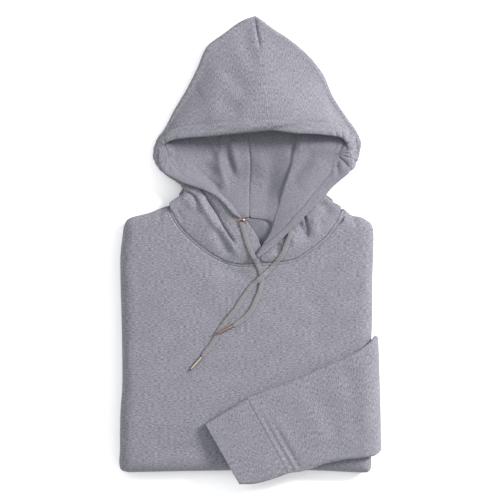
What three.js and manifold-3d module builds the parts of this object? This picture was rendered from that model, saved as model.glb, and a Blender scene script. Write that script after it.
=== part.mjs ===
// Pullover hoodie, folded for a shelf: the sides and the lower half are folded behind, the hood is
// spread open above the neck and one sleeve comes round from behind and lies across the front.
// Units are millimetres. +Z is up, +Y runs towards the top of the hood, the garment rests on z = 0.

import * as THREE from "three";
import { mergeVertices } from "three/addons/utils/BufferGeometryUtils.js";
import Module from "manifold-3d";

// ---- driving dimensions -------------------------------------------------------------------------

const CLOTH = 1.8;                 // one layer of fleece
const GAP = 0.35;                  // clear space between two pieces at a seam
const LAYER = CLOTH + GAP;         // step from one layer to the next one on it
const PACK_TOP = 33;               // middle of the front panel above the table
const PACK_DOME = 1.6;             // how much the pack swells in its middle
const NECK_LEVEL = 26;             // where the hood's back layer reaches the back neck seam
const BACK_NECK_LEVEL = 25.6;      // inside of the back panel, seen through the neck
const FOLD_RADIUS = 4.6;           // fold along the outline of the hood
const SLEEVE_HALF = 3.6;           // half the thickness of the flattened sleeve
const CUFF_HALF = 4.4;             // half the thickness of the doubled cuff
const SLEEVE_WALL = 1.6;
const CORD = { width: 6.4, thick: 2.2, sides: 8, step: 9 };
const AGLET = { length: 21, radius: 1.7, sides: 12 };
const EYELET = { outer: 5.8, hole: 2.8, thick: 1.3, sides: 14 };

const COLOURS = { fleece: 0x97979f, lining: 0x8f8f97, cord: 0xa6a4a6, copper: 0xb87a5c, gold: 0xc9a989 };

const vector = (p) => new THREE.Vector3(p[0], p[1], p[2] ?? 0);

function curveThrough(points) {
  return new THREE.CatmullRomCurve3(points.map(vector), false, "centripetal");
}

// ---- outline of the folded body, counter-clockwise, one list for each edge -------------------------

const NECKLINE = [
  [-105.7, 57.1], [-100.6, 46.2], [-90.7, 30.2], [-78.8, 17.3], [-60.8, 2.3], [-46, -7.7],
  [-31.1, -14.6], [-15.1, -18.6], [1.8, -18.2], [25.2, -16.8], [41.2, -15.6], [58.1, -11.6],
  [68.1, -5.6], [84, 5.3], [95.9, 15.2], [105.8, 27.2], [114.8, 41.1], [119.9, 54.1],
];
const BACK_NECK = [[119.9, 54.1], [90, 48.5], [45, 44.5], [0, 44], [-40, 44.5], [-80, 49.5], [-105.7, 57.1]];
const LEFT_SHOULDER = [[-105.7, 57.1], [-113.6, 54.6], [-128.6, 48.6], [-153.5, 42.3], [-164.6, 30]];
const LEFT_SIDE = [[-164.6, 30], [-168.7, -6.6], [-167.7, -74.4], [-166.5, -160], [-169.5, -262]];
const LOW_LEFT_CORNER = [[-169.5, -262], [-170.2, -279], [-168, -287], [-160, -289.6]];
const BOTTOM = [[-160, -289.6], [-78.5, -288], [0, -286.8], [75.4, -287], [146, -290.2]];
const LOW_RIGHT_CORNER = [[146, -290.2], [153.5, -289.8], [157, -284], [157, -268]];
const RIGHT_SIDE = [[157, -268], [156.2, -200], [156.8, -128], [158.2, -92.3], [158.6, -30], [160.3, 12]];
const RIGHT_SHOULDER = [[160.3, 12], [158.5, 30], [148, 40.5], [131.5, 44.8], [119.9, 54.1]];

// Edge pieces in order. steps is the number of facets, wrap says how the front's cloth ends there.
const FRONT_NECK = { points: NECKLINE.slice().reverse(), steps: 19, wrap: "seam" };
const BACK_NECK_EDGE = { points: BACK_NECK, steps: 8, wrap: "side" };
const FOLDED_EDGES = [
  { points: LEFT_SHOULDER, steps: 4, wrap: "side" },
  { points: LEFT_SIDE, steps: 7, wrap: "side" },
  { points: LOW_LEFT_CORNER, steps: 4, wrap: "under" },
  { points: BOTTOM, steps: 8, wrap: "under" },
  { points: LOW_RIGHT_CORNER, steps: 4, wrap: "under" },
  { points: RIGHT_SIDE, steps: 8, wrap: "side" },
  { points: RIGHT_SHOULDER, steps: 5, wrap: "side" },
];
const BODY_CENTRE = [10, -240];   // a place that every outline point can be reached from in a straight line

// Cross-section of the front round a folded edge: in is the distance inside the outline, down is
// measured from the top of the pack. At the sides the cloth stops part of the way round.
const FRONT_EDGE = curveThrough([
  [26, 0], [13, 0.6], [6.5, 3], [2, 7.5], [0.2, 12.5], [0, 17], [0.3, 23], [2.6, 28], [9, PACK_TOP - 1.2],
]);
const EDGE_STEPS = [0, 0.2, 0.4, 0.55, 0.7, 0.85, 1];
const SIDE_REACH = 0.7;
const SEAM_INSET = 26;
const SQUARE_REACH = 3;
const LEAST_SLANT = 0.65;
const PEAK_STEP = 1.5;             // extra room for the lining under the centre seam
const SEAM_SHIFT = 1.5 * GAP;      // each half of the hood stands this far from the centre seam

// Cross-section of the folded layers under it: the round edge of each layer shows at the sides.
const LAYER_PROFILE = {
  side: [[30, 2.4], [15, 3.2], [8.5, 6], [4.6, 10.5], [2.9, 17], [2.9, 19.6], [0.6, 20.8], [0.3, 22.6],
    [2.6, 24], [0.5, 25.4], [0.4, 27.2], [2.6, 28.4], [0.8, 29.8], [1.4, 32], [4, PACK_TOP]],
  under: [[30, 2.4], [15, 3.4], [8.4, 6.2], [4.2, 11], [3, 16], [3, 18.5], [3.3, 20.5], [3.7, 22.5],
    [4.2, 24.5], [4.8, 26.3], [6.2, 27.6], [8.6, 29], [10.5, 29.8], [11.4, 31], [12.2, PACK_TOP]],
};

// ---- hood: one row for each station round the face opening ------------------------------------------
// hem is the edge of the opening, side the outline where the cloth turns under, turn the angle at
// which that turn starts (90 = from the flap on top, 0 = from a standing edge), end the centre-back seam.

const LEFT_CROWN = [
  { hem: [27.3, 156.5, 36], side: [6.6, 304.6], turn: 90, end: [6.3, 297] },
  { hem: [6, 154.4, 36], side: [-8, 299.4], turn: 90, end: [6.2, 285] },
  { hem: [-18, 152.2, 35], side: [-33, 283.4], turn: 90, end: [5, 262] },
  { hem: [-42, 149.8, 33], side: [-56, 265.6], turn: 90, end: [3, 238] },
  { hem: [-64, 148.2, 30], side: [-69.5, 236], turn: 90, end: [1, 214] },
  { hem: [-84, 146.8, 27], side: [-84.5, 207], turn: 90, end: [-1, 192] },
  { hem: [-100, 144.6, 23.5], side: [-99.5, 182], turn: 90, end: [-3, 172] },
  { hem: [-110, 141, 20.5], side: [-112, 158], turn: 90, end: [-4, 156] },
  { hem: [-115.5, 136.5, 18.5], side: [-121.5, 145], turn: 80, end: [-4.3, 144] },
  { hem: [-118.5, 130, 17.5], side: [-126, 132], turn: 60, end: [-4, 132] },
  { hem: [-120.5, 121.5, 17.5], side: [-125.8, 121], turn: 30, end: [-3, 120] },
  { hem: [-118.5, 111.5, 18.5], side: [-120.8, 110], turn: 0, end: [-2, 108] },
  { hem: [-108, 100.5, 20], side: [-109.5, 98.4], turn: 0, end: [-1.5, 95] },
  { hem: [-97.5, 93, 22], side: [-98.6, 91.2], turn: 0, end: [-1.3, 80] },
  { hem: [-89.5, 87.6, 23], side: [-89.8, 84.6], turn: 0, end: [-1.8, 62] },
  { hem: [-86, 85, 23], side: [-87, 77], turn: 0, end: [-2.2, 44] },
  { hem: [-87, 80, 22], side: [-88.6, 74], turn: 0, end: [-46, 45.4] },
  { hem: [-89, 76, 21], side: [-92, 71], turn: 0, end: [-80, 51] },
];
const RIGHT_CROWN = [
  { hem: [27.3, 156.5, 36], side: [6.6, 304.6], turn: 90, end: [6.3, 297] },
  { hem: [34, 155.8, 36], side: [14.6, 297.6], turn: 90, end: [6.3, 289.6] },
  { hem: [46, 154.2, 36], side: [27, 287.6], turn: 90, end: [6.2, 279] },
  { hem: [62, 152.2, 35], side: [48, 273.6], turn: 90, end: [5, 256] },
  { hem: [80, 151.8, 33], side: [74, 255], turn: 90, end: [2.6, 232] },
  { hem: [96, 150.8, 30], side: [95, 229], turn: 90, end: [0, 206] },
  { hem: [109, 149.2, 27], side: [108, 200], turn: 90, end: [-2.2, 182] },
  { hem: [118, 147.4, 24], side: [126.5, 172], turn: 90, end: [-3.6, 163] },
  { hem: [123.5, 143.6, 21.5], side: [138.5, 155], turn: 85, end: [-4.3, 148] },
  { hem: [127, 137, 19.5], side: [144.3, 141], turn: 75, end: [-4, 137] },
  { hem: [128, 129, 18.5], side: [143, 129.5], turn: 65, end: [-3.6, 127] },
  { hem: [130, 120.5, 18], side: [140.3, 118.4], turn: 45, end: [-3, 117] },
  { hem: [131.6, 109.6, 18.5], side: [134.5, 108], turn: 0, end: [-2, 106] },
  { hem: [120.6, 97.4, 20], side: [122.4, 96], turn: 0, end: [-1.5, 94] },
  { hem: [108, 86.6, 21.5], side: [109.4, 85], turn: 0, end: [-1.3, 80] },
  { hem: [99, 77.4, 22.5], side: [100, 75.6], turn: 0, end: [-1.8, 62] },
  { hem: [95, 73.4, 22.5], side: [97, 70], turn: 0, end: [-2.2, 44] },
  { hem: [99, 70.6, 22], side: [101, 67.6], turn: 0, end: [46, 45.4] },
  { hem: [104, 66.6, 22], side: [106.4, 64], turn: 0, end: [92, 51] },
];

// Lower part of each hood panel, from the edge of the opening down to the neckline seam.
const LEFT_COLLAR = [
  { hem: [-87.6, 83.6, 14], mid: [-87.4, 75.5, 14], seam: [-102.6, 62, 21] },
  { hem: [-88.6, 86.6, 21], mid: [-86.6, 75.5, 22], seam: [-105, 60.6, 27.6] },
  { hem: [-79, 83.6, 25], mid: [-84, 70, 29.5], seam: [-104.4, 55.8, 31.8] },
  { hem: [-67, 79.6, 29], mid: [-74, 61, 33] },
  { hem: [-55, 75, 32], mid: [-65, 51, 35] },
  { hem: [-44, 68.6, 33.5], mid: [-55, 40, 36.4] },
  { hem: [-33, 58.6, 35], mid: [-44, 29, 37.4] },
  { hem: [-22, 45.6, 36], mid: [-34, 16.5, 38] },
  { hem: [-13.5, 42, 36.6], mid: [-23, 9, 38] },
  { hem: [-4.8, 35.6, 37], mid: [-13, 6, 37.8] },
  { hem: [3, 25, 37.4], mid: [-4, 0.5, 37.4] },
  { hem: [9, 14.6, 36.8], mid: [3, -4, 36.4] },
  { hem: [13.4, 3.6, 36], mid: [8, -7.5, 35.4] },
];
const RIGHT_COLLAR = [
  { hem: [97.6, 72.6, 15], mid: [105, 62.4, 15], seam: [115.6, 55, 22] },
  { hem: [95.6, 73.4, 20], mid: [105.6, 63.6, 23], seam: [117.2, 56.4, 27] },
  { hem: [83, 63, 26.4], mid: [98, 53, 30.6], seam: [116.4, 50.6, 31.8] },
  { hem: [74, 55.5, 29.4], mid: [90, 42, 33.4] },
  { hem: [63.5, 45, 31.4], mid: [80, 29.5, 35.2] },
  { hem: [53, 34.5, 32.6], mid: [69, 17, 36] },
  { hem: [44, 26, 33.4], mid: [57, 6.5, 36.4] },
  { hem: [33, 15, 34.4], mid: [44.5, -2.5, 36.6] },
  { hem: [24, 6, 35.2], mid: [32.4, -7.4, 36.4] },
  { hem: [17.6, -2.4, 35.6], mid: [21.4, -10, 35.8] },
  { hem: [13.4, -8.4, 35.4], mid: [14.2, -12.8, 35.2] },
];

// Lining in the mouth of the hood: hem, the crest of the turned-back edge, then down to the back seam.
const LEFT_MOUTH = [
  { hem: [-116.6, 121.4, 17.6], crest: [-104, 121.6, 16], end: [-3, 120] },
  { hem: [-115.6, 112.4, 19.4], crest: [-103, 113, 17.4], end: [-2, 108] },
  { hem: [-109.4, 100.8, 23], crest: [-96, 102.4, 20], end: [-1.5, 95] },
  { hem: [-99, 93.4, 25.4], crest: [-86, 95, 23], end: [-1.3, 80] },
  { hem: [-89.4, 88.6, 27.4], crest: [-76, 90, 26], end: [-1.8, 66] },
  { hem: [-78.4, 84.6, 29.6], crest: [-64, 86, 28.4], end: [-2, 53] },
  { hem: [-66.6, 80.6, 32], crest: [-53, 81.4, 30.6], end: [-2.2, 42.6] },
  { hem: [-55, 76, 34.6], crest: [-43.6, 75.4, 32.6], end: [-4, 42.4] },
  { hem: [-44, 69.6, 36], crest: [-34.4, 68, 34], end: [-5.4, 42.2] },
  { hem: [-33, 59.6, 37.6], crest: [-26.6, 58, 35.4], end: [-6.8, 42] },
  { hem: [-22, 46.8, 38.6], crest: [-18.4, 47.2, 37], end: [-8.4, 41.8] },
];
const RIGHT_MOUTH = [
  { hem: [125.6, 120.4, 18], crest: [56.4, 120, 17], end: [-3, 117] },
  { hem: [128.6, 110, 20.4], crest: [55, 110, 18.4], end: [-2, 106] },
  { hem: [120.8, 97.8, 22.6], crest: [50, 97.6, 20.4], end: [-1.5, 94] },
  { hem: [108.6, 86.6, 24.8], crest: [44.6, 82, 23], end: [-1.3, 80] },
  { hem: [96.8, 73, 27.4], crest: [39.8, 65, 26.4], end: [-1.8, 63] },
  { hem: [83, 57.6, 34.4], crest: [35.2, 49, 31], end: [-2.2, 50] },
  { hem: [72, 46.4, 37.2], crest: [32, 38.6, 33.4], end: [-2.2, 42.6] },
  { hem: [61.6, 34.6, 38.6], crest: [29, 28.4, 35.4], end: [14, 42] },
  { hem: [50, 24.6, 38.6], crest: [24.6, 18.6, 36.6], end: [31, 26, 31] },
  { hem: [36.4, 11.6, 39.2], crest: [18.6, 9.4, 37.8], end: [25, 14, 33.6] },
  { hem: [22.4, -0.4, 39.4], crest: [13.2, 1, 38.8], end: [18, 4, 35.6] },
  { hem: [9.4, -9.4, 39.4], crest: [8, -7.4, 39.2], end: [12, -3.6, 38.2] },
];

// ---- sleeve and cuff: a row for each cross-section of the flattened tube ----------------------------

const SLEEVE = [
  { upper: [-4.3, -192.8], lower: [49.2, -290], z: 38.6 },
  { upper: [22, -182.2], lower: [72, -286.4], z: 38.4 },
  { upper: [55, -170], lower: [97, -277.6], z: 38.4 },
  { upper: [88, -155.4], lower: [122, -272.6], z: 38.2 },
  { upper: [118, -142.2], lower: [141, -270.6], z: 38.2 },
  { upper: [141, -130], lower: [153, -269], z: 37.6 },
  { upper: [156, -121.2], lower: [161.4, -267.6], z: 33.6 },
  { upper: [162, -117.4], lower: [166.6, -264], z: 25.6 },
  { upper: [163, -118], lower: [167.2, -262], z: 14.6 },
  { upper: [159.6, -119], lower: [163, -261], z: 6.2 },
  { upper: [149.6, -119.4], lower: [151, -260.6], z: SLEEVE_HALF },
  { upper: [136, -120], lower: [137, -260], z: SLEEVE_HALF },
];
const CUFF = [
  { upper: [-4.75, -193.1], lower: [48.8, -290.4], z: 39.5 },
  { upper: [-23, -203.8], lower: [29, -297.6], z: 39.5 },
  { upper: [-41.6, -215.4], lower: [6, -303.6], z: 39.4 },
  { upper: [-58.8, -226.2], lower: [-14.2, -304.4], z: 39.2 },
];
const TUCK = { x: [130, 175], y: [-270, -108], top: 2 * SLEEVE_HALF + 1.6 };   // room under the pack

// ---- drawcords: routes seen from above, each from its eyelet to its free end -------------------------

const LEFT_CORD = [
  [-11.6, 35.4], [-8.2, 24], [-4.2, 10], [1, -3], [8.6, -17], [13.6, -30], [14.6, -41], [12.4, -54],
  [7.4, -65], [2, -77], [-6, -86.4], [-14, -93.4], [-21.4, -98.2],
];
const RIGHT_CORD = [
  [52.4, 21.6], [47.8, 9], [42, -5.4], [33, -17], [24, -26.8], [13.4, -36.4], [3, -46], [-9.8, -62.4],
  [-18.7, -76.4], [-28.5, -88.9], [-35.4, -97.4], [-41.6, -106.4], [-46, -115.6], [-52.4, -125.4],
  [-59.4, -134.4], [-63.2, -139.8],
];
const LEFT_EYELET = [-11.6, 35.4];
const RIGHT_EYELET = [56, 27.4];
const AGLET_TURN = { left: -155, right: -132 };   // direction each metal end points, in degrees from +X

// ---- small helpers ----------------------------------------------------------------------------------

const wasm = await Module();
wasm.setup();

const lerp = (a, b, t) => a + (b - a) * t;
const smooth = (t) => { const c = Math.min(1, Math.max(0, t)); return c * c * (3 - 2 * c); };


// Height of the middle of the hood's back layer: flat on the table, then up onto the pack at the neck.
function backLayerHeight(y) {
  return CLOTH / 2 + (NECK_LEVEL - CLOTH / 2) * smooth((94 - y) / 50);
}

// Level of the top of the pack under the front panel.
function packTop(x, y) {
  const across = Math.max(0, 1 - (x / 165) ** 2);
  const along = Math.max(0, 1 - ((y + 125) / 170) ** 2);
  return PACK_TOP + PACK_DOME * (across * along - 0.5);
}

function geometryFrom(vertices, triangles) {
  const geometry = new THREE.BufferGeometry();
  geometry.setAttribute("position", new THREE.Float32BufferAttribute(vertices.flat(), 3));
  geometry.setIndex(triangles.flat());
  return geometry;
}

function volumeOf(vertices, triangles) {
  let volume = 0;
  for (const [a, b, c] of triangles) {
    volume += vector(vertices[a]).dot(vector(vertices[b]).cross(vector(vertices[c])));
  }
  return volume;
}

// Closes a list of vertices and triangles with its faces pointing out.
function closedSolid(vertices, triangles) {
  if (volumeOf(vertices, triangles) > 0) return geometryFrom(vertices, triangles);
  return geometryFrom(vertices, triangles.map(([a, b, c]) => [a, c, b]));
}

function quad(triangles, a, b, c, d) {
  triangles.push([a, b, c], [a, c, d]);
}

// Unit normal of a grid of points at row i, column j: the mean over the cells that meet there.
function gridNormal(grid, i, j) {
  const normal = new THREE.Vector3();
  for (const r of [i - 1, i]) {
    for (const c of [j - 1, j]) {
      if (r < 0 || c < 0 || r + 1 >= grid.length || c + 1 >= grid[0].length) continue;
      const diagonal = vector(grid[r + 1][c + 1]).sub(vector(grid[r][c]));
      const other = vector(grid[r][c + 1]).sub(vector(grid[r + 1][c]));
      normal.add(diagonal.cross(other));
    }
  }
  return normal.normalize();
}

// A sheet of cloth: the grid is its middle, the walls are half a thickness to each side.
function sheet(grid, thickness) {
  const rows = grid.length;
  const columns = grid[0].length;
  const vertices = [];
  const triangles = [];
  for (const side of [1, -1]) {
    for (let i = 0; i < rows; i += 1) {
      for (let j = 0; j < columns; j += 1) {
        const shift = gridNormal(grid, i, j).multiplyScalar(side * thickness / 2);
        vertices.push(vector(grid[i][j]).add(shift).toArray());
      }
    }
  }
  const far = rows * columns;
  const at = (i, j) => i * columns + j;
  for (let i = 0; i + 1 < rows; i += 1) {
    for (let j = 0; j + 1 < columns; j += 1) {
      quad(triangles, at(i, j), at(i + 1, j), at(i + 1, j + 1), at(i, j + 1));
      quad(triangles, far + at(i, j), far + at(i, j + 1), far + at(i + 1, j + 1), far + at(i + 1, j));
    }
  }
  const border = [];
  for (let j = 0; j + 1 < columns; j += 1) border.push(at(0, j));
  for (let i = 0; i + 1 < rows; i += 1) border.push(at(i, columns - 1));
  for (let j = columns - 1; j > 0; j -= 1) border.push(at(rows - 1, j));
  for (let i = rows - 1; i > 0; i -= 1) border.push(at(i, 0));
  border.forEach((a, k) => {
    const b = border[(k + 1) % border.length];
    quad(triangles, a, b, far + b, far + a);
  });
  return closedSolid(vertices, triangles);
}

// Rings of equal length joined one after another; the first and last are closed by a fan or,
// for a hollow, by joining them to each other.
function rings(list, { hollow = false } = {}) {
  const count = list[0].length;
  const vertices = list.flat();
  const triangles = [];
  const join = (r, s) => {
    for (let k = 0; k < count; k += 1) {
      const next = (k + 1) % count;
      quad(triangles, r * count + k, r * count + next, s * count + next, s * count + k);
    }
  };
  for (let r = 0; r + 1 < list.length; r += 1) join(r, r + 1);
  if (hollow) {
    join(list.length - 1, 0);
    return closedSolid(vertices, triangles);
  }
  for (const [ring, flip] of [[0, true], [list.length - 1, false]]) {
    const middle = new THREE.Vector3();
    list[ring].forEach((p) => middle.add(vector(p).divideScalar(count)));
    vertices.push(middle.toArray());
    for (let k = 0; k < count; k += 1) {
      const a = ring * count + k;
      const b = ring * count + (k + 1) % count;
      triangles.push(flip ? [vertices.length - 1, b, a] : [vertices.length - 1, a, b]);
    }
  }
  return closedSolid(vertices, triangles);
}

function toManifold(geometry) {
  const plain = geometry.clone();
  plain.deleteAttribute("normal");
  plain.deleteAttribute("uv");
  const merged = mergeVertices(plain, 1e-4);
  return new wasm.Manifold(new wasm.Mesh({
    numProp: 3,
    vertProperties: new Float32Array(merged.attributes.position.array),
    triVerts: new Uint32Array(merged.index.array),
  }));
}

function fromManifold(solid) {
  const { vertProperties, triVerts } = solid.getMesh();
  const geometry = new THREE.BufferGeometry();
  geometry.setAttribute("position", new THREE.Float32BufferAttribute(Array.from(vertProperties), 3));
  geometry.setIndex(Array.from(triVerts));
  return geometry;
}

const union = (a, b) => fromManifold(toManifold(a).add(toManifold(b)));
const cut = (a, b) => fromManifold(toManifold(a).subtract(toManifold(b)));

const hoodie = new THREE.Group();

function addPiece(name, geometry, colour, metal = false) {
  const material = new THREE.MeshStandardMaterial({
    color: colour, roughness: metal ? 0.3 : 0.95, metalness: metal ? 1 : 0,
  });
  const mesh = new THREE.Mesh(geometry, material);
  mesh.name = name;
  hoodie.add(mesh);
  mesh.updateMatrixWorld(true);
  return mesh;
}

// ---- folded body ------------------------------------------------------------------------------------

// Points of the body's outline with the inward normal and how much each kind of edge counts there.
function bodyOutline(edges) {
  const outline = [];
  for (const edge of edges) {
    const curve = curveThrough(edge.points);
    for (let k = 0; k < edge.steps; k += 1) {
      const p = curve.getPointAt(k / edge.steps);
      outline.push({ x: p.x, y: p.y, wrap: edge.wrap });
    }
  }
  const count = outline.length;
  return outline.map((point, k) => {
    const before = outline[(k + count - 1) % count];
    const after = outline[(k + 1) % count];
    const length = Math.hypot(after.x - before.x, after.y - before.y);
    const kinds = [before.wrap, point.wrap, point.wrap, after.wrap];
    const nearby = [-2, -1, 0, 1, 2].map((step) => outline[(k + step + count) % count].wrap);
    return {
      x: point.x,
      y: point.y,
      inward: [-(after.y - before.y) / length, (after.x - before.x) / length],
      under: kinds.filter((kind) => kind === "under").length / 4,
      nearUnder: nearby.includes("under") ? 1 : 0,
      seam: point.wrap === "seam" || before.wrap === "seam" ? 1 : 0,
    };
  });
}

const FRONT_OUTLINE = bodyOutline([FRONT_NECK, ...FOLDED_EDGES]);
const LAYERS_OUTLINE = bodyOutline([BACK_NECK_EDGE, ...FOLDED_EDGES]);

// Steps in square to the edge at first, then towards the body's centre, so that no two paths cross.
function stepIn({ x, y, inward }, inset) {
  const centre = [BODY_CENTRE[0] - x, BODY_CENTRE[1] - y];
  const reach = Math.hypot(centre[0], centre[1]);
  const slant = Math.max(LEAST_SLANT, (centre[0] * inward[0] + centre[1] * inward[1]) / reach);
  const square = SQUARE_REACH * (1 - Math.exp(-inset / SQUARE_REACH)) * (1 - smooth(inset / SEAM_INSET));
  const rest = (inset - square) / slant / reach;
  return [x + inward[0] * square + centre[0] * rest, y + inward[1] * square + centre[1] * rest];
}

// One ring round the body, at a place (inset, down) that is worked out for each outline point.
function bodyRing(outline, place) {
  return outline.map((point) => {
    const [inset, down] = place(point);
    const [x, y] = stepIn(point, inset);
    const swell = (packTop(x, y) - PACK_TOP) * (1 - down / PACK_TOP);
    return [x, y, PACK_TOP - down + swell];
  });
}

function frontRing(step) {
  return bodyRing(FRONT_OUTLINE, (point) => {
    if (point.seam) return [SEAM_INSET * (1 - step), 0];
    const place = FRONT_EDGE.getPointAt(step * lerp(SIDE_REACH, 1, point.under));
    return [place.x, place.y];
  });
}

function layerRing(row) {
  const { under, side } = LAYER_PROFILE;
  return bodyRing(LAYERS_OUTLINE, (point) => (point.nearUnder ? under[row] : side[row]));
}

// Rings between the innermost profile ring and the middle of the body.
function innerRings(outer, fractions, lower) {
  return fractions.map((t) => outer.map(([x, y]) => {
    const px = lerp(x, BODY_CENTRE[0], t);
    const py = lerp(y, BODY_CENTRE[1], t);
    return [px, py, packTop(px, py) - lower];
  }));
}

// A closed sheet from rings: offsets each ring by its own normal to get the two faces.
function ringSheet(list, thickness) {
  const closed = list.map((ring) => [...ring]);
  const count = closed[0].length;
  const faces = [1, -1].map((side) => closed.map((ring, r) => ring.map((p, k) => {
    const outer = closed[Math.min(closed.length - 1, r + 1)][k];
    const inner = closed[Math.max(0, r - 1)][k];
    const along = vector(ring[(k + 1) % count]).sub(vector(ring[(k + count - 1) % count]));
    const normal = along.cross(vector(outer).sub(vector(inner))).normalize();
    return vector(p).add(normal.multiplyScalar(side * thickness / 2)).toArray();
  })));
  return rings([...faces[0], ...faces[1].reverse()]);
}

function frontPanel() {
  const edge = EDGE_STEPS.map(frontRing);
  const inner = innerRings(edge[0], [0.8, 0.5, 0.2], 0);
  return ringSheet([...inner, ...edge], CLOTH);
}

function foldedLayers() {
  const edge = LAYER_PROFILE.side.map((_, row) => layerRing(row));
  const inner = innerRings(edge[0], [0.8, 0.4], 2.4);
  let solid = rings([...inner, ...edge]);
  const neck = new THREE.Shape(NECKLINE.map(([x, y]) => new THREE.Vector2(x * 0.96, y - 0.5)));
  const pocket = new THREE.ExtrudeGeometry(neck, { depth: PACK_TOP, bevelEnabled: false, steps: 1 });
  pocket.translate(0, 0, BACK_NECK_LEVEL - CLOTH / 2 - GAP);
  solid = cut(solid, pocket);
  const width = TUCK.x[1] - TUCK.x[0];
  const length = TUCK.y[1] - TUCK.y[0];
  const tuck = new THREE.BoxGeometry(width, length, 2 * TUCK.top);
  tuck.translate(TUCK.x[0] + width / 2, TUCK.y[0] + length / 2, 0);
  return cut(solid, tuck);
}

// ---- hood -------------------------------------------------------------------------------------------

const FLAP_STEPS = [0, 0.15, 0.38, 0.62, 0.85, 1];
const TURN_STEPS = [1 / 3, 2 / 3, 1];
const BACK_STEPS = [0.2, 0.5, 0.8, 1];
const CREST_STEPS = [0, 0.2, 0.4, 0.6, 0.8, 1];
const MOUTH_STEPS = [0.08, 0.18, 0.3, 0.45, 0.62, 0.8, 1];
const CREST_BULGE = 1.2;           // soft swelling of the turned-back edge
const LINING_LIFT = 1.4 * LAYER;   // lining above the back layer, measured upright on its slope

// Path of the cloth at one station: from the hem over the flap, round the outline and along the back.
function crownPath(station) {
  const [hemX, hemY, hemZ] = station.hem;
  const [sideX, sideY] = station.side;
  const [endX, endY] = station.end;
  const reach = Math.hypot(sideX - endX, sideY - endY);
  const out = [(sideX - endX) / reach, (sideY - endY) / reach];
  const centreZ = FOLD_RADIUS + backLayerHeight(sideY);
  const onTurn = (angle) => {
    const radians = THREE.MathUtils.degToRad(angle);
    const away = FOLD_RADIUS * (Math.cos(radians) - 1);
    return [sideX + out[0] * away, sideY + out[1] * away, centreZ + FOLD_RADIUS * Math.sin(radians)];
  };
  const start = onTurn(station.turn);
  const flat = Math.sin(THREE.MathUtils.degToRad(station.turn));
  const points = FLAP_STEPS.map((t) => (
    [lerp(hemX, start[0], t), lerp(hemY, start[1], t), lerp(hemZ, start[2], lerp(t, smooth(t), flat))]
  ));
  for (const t of TURN_STEPS) points.push(onTurn(lerp(station.turn, -90, t)));
  const under = points[points.length - 1];
  for (const t of BACK_STEPS) {
    const y = lerp(under[1], endY, t);
    points.push([lerp(under[0], endX, t), y, backLayerHeight(y)]);
  }
  return points;
}

// Keeps the left and the right half clear of each other along the centre seam.
function openSeam(grid, side) {
  return grid.map((path, i) => path.map(([x, y, z], j) => (
    i === 0 || j === path.length - 1 ? [x + side * SEAM_SHIFT, y, z] : [x, y, z]
  )));
}

// The same grid one layer further in, for the lining. side is -1 on the left and 1 on the right.
function movedIn(grid, side) {
  return grid.map((path, i) => path.map((point, j) => {
    const normal = gridNormal(grid, i, j);
    if (i === 0) normal.setX(0).setLength(PEAK_STEP);
    return vector(point).addScaledVector(normal, -side * LAYER).toArray();
  }));
}

// Seam end of a collar station: a place on the neckline, one gap inside the front panel's edge.
const NECK_CURVE = curveThrough(NECKLINE);
const COLLAR_INSET = 1.35;         // room for the round edge of the seam

function collar(stations, from, to) {
  const placed = stations.filter((station) => !station.seam).length;
  let index = 0;
  const grid = stations.map((station) => {
    let seam = station.seam;
    if (!seam) {
      const t = lerp(from, to, placed > 1 ? index / (placed - 1) : 0);
      index += 1;
      const p = NECK_CURVE.getPointAt(t);
      const along = NECK_CURVE.getTangentAt(t);
      const x = p.x - along.y * COLLAR_INSET;
      const y = p.y + along.x * COLLAR_INSET;
      seam = [x, y, packTop(x, y) + 0.2];
    }
    const path = curveThrough([station.hem, station.mid, seam]);
    return [0, 0.15, 0.35, 0.55, 0.75, 0.9, 1].map((t) => path.getPointAt(t).toArray());
  });
  return sheet(grid, CLOTH);
}

function hoodPanel(crownStations, collarStations, side, [from, to]) {
  const upper = sheet(openSeam(crownStations.map(crownPath), side), CLOTH);
  return union(upper, collar(collarStations, from, to));
}

// Lining at one station of the mouth: from the hem over the crest, then down to the back layer.
function mouthPath({ hem, crest, end }) {
  const points = CREST_STEPS.map((t) => [
    lerp(hem[0], crest[0], t), lerp(hem[1], crest[1], t),
    lerp(hem[2], crest[2], t) + CREST_BULGE * Math.sin(Math.PI * t),
  ]);
  for (const t of MOUTH_STEPS) {
    const y = lerp(crest[1], end[1], t);
    const floor = end[2] ?? backLayerHeight(y) + LINING_LIFT;
    const low = Math.min(crest[2] - 1, floor);
    points.push([lerp(crest[0], end[0], t), y, lerp(crest[2], low, smooth(t * 2.2))]);
  }
  return points;
}

// The lining follows the flap and the outline until the mouth's own rows take over.
function lining(crownStations, mouthStations, side) {
  const covered = crownStations.filter((station) => station.hem[1] > mouthStations[0].hem[1] + 5).length;
  const inside = movedIn(crownStations.map(crownPath), side).slice(0, covered);
  return sheet(openSeam([...inside, ...mouthStations.map(mouthPath)], side), CLOTH);
}

// Inside of the back panel below the back neck seam, seen through the neck.
function backNeck() {
  const grid = [];
  for (const y of [40.6, 24, 8, -7]) {
    const row = [];
    for (const x of [-28, -14, 0, 14, 28, 42]) row.push([x, y, BACK_NECK_LEVEL]);
    grid.push(row);
  }
  return sheet(grid, CLOTH);
}

// ---- sleeve -----------------------------------------------------------------------------------------

// Flattened ring of a tube: straight faces and round ends.
function stadium(halfWidth, halfHeight) {
  const points = [];
  const flat = halfWidth - halfHeight;
  for (const end of [1, -1]) {
    for (const angle of [90, 45, 0, -45, -90]) {
      const radians = THREE.MathUtils.degToRad(angle);
      points.push([end * (flat + halfHeight * Math.cos(radians)), end * halfHeight * Math.sin(radians)]);
    }
    for (const t of [0.25, 0.5, 0.75]) points.push([end * flat * (1 - 2 * t), -end * halfHeight]);
  }
  return points;
}

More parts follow.
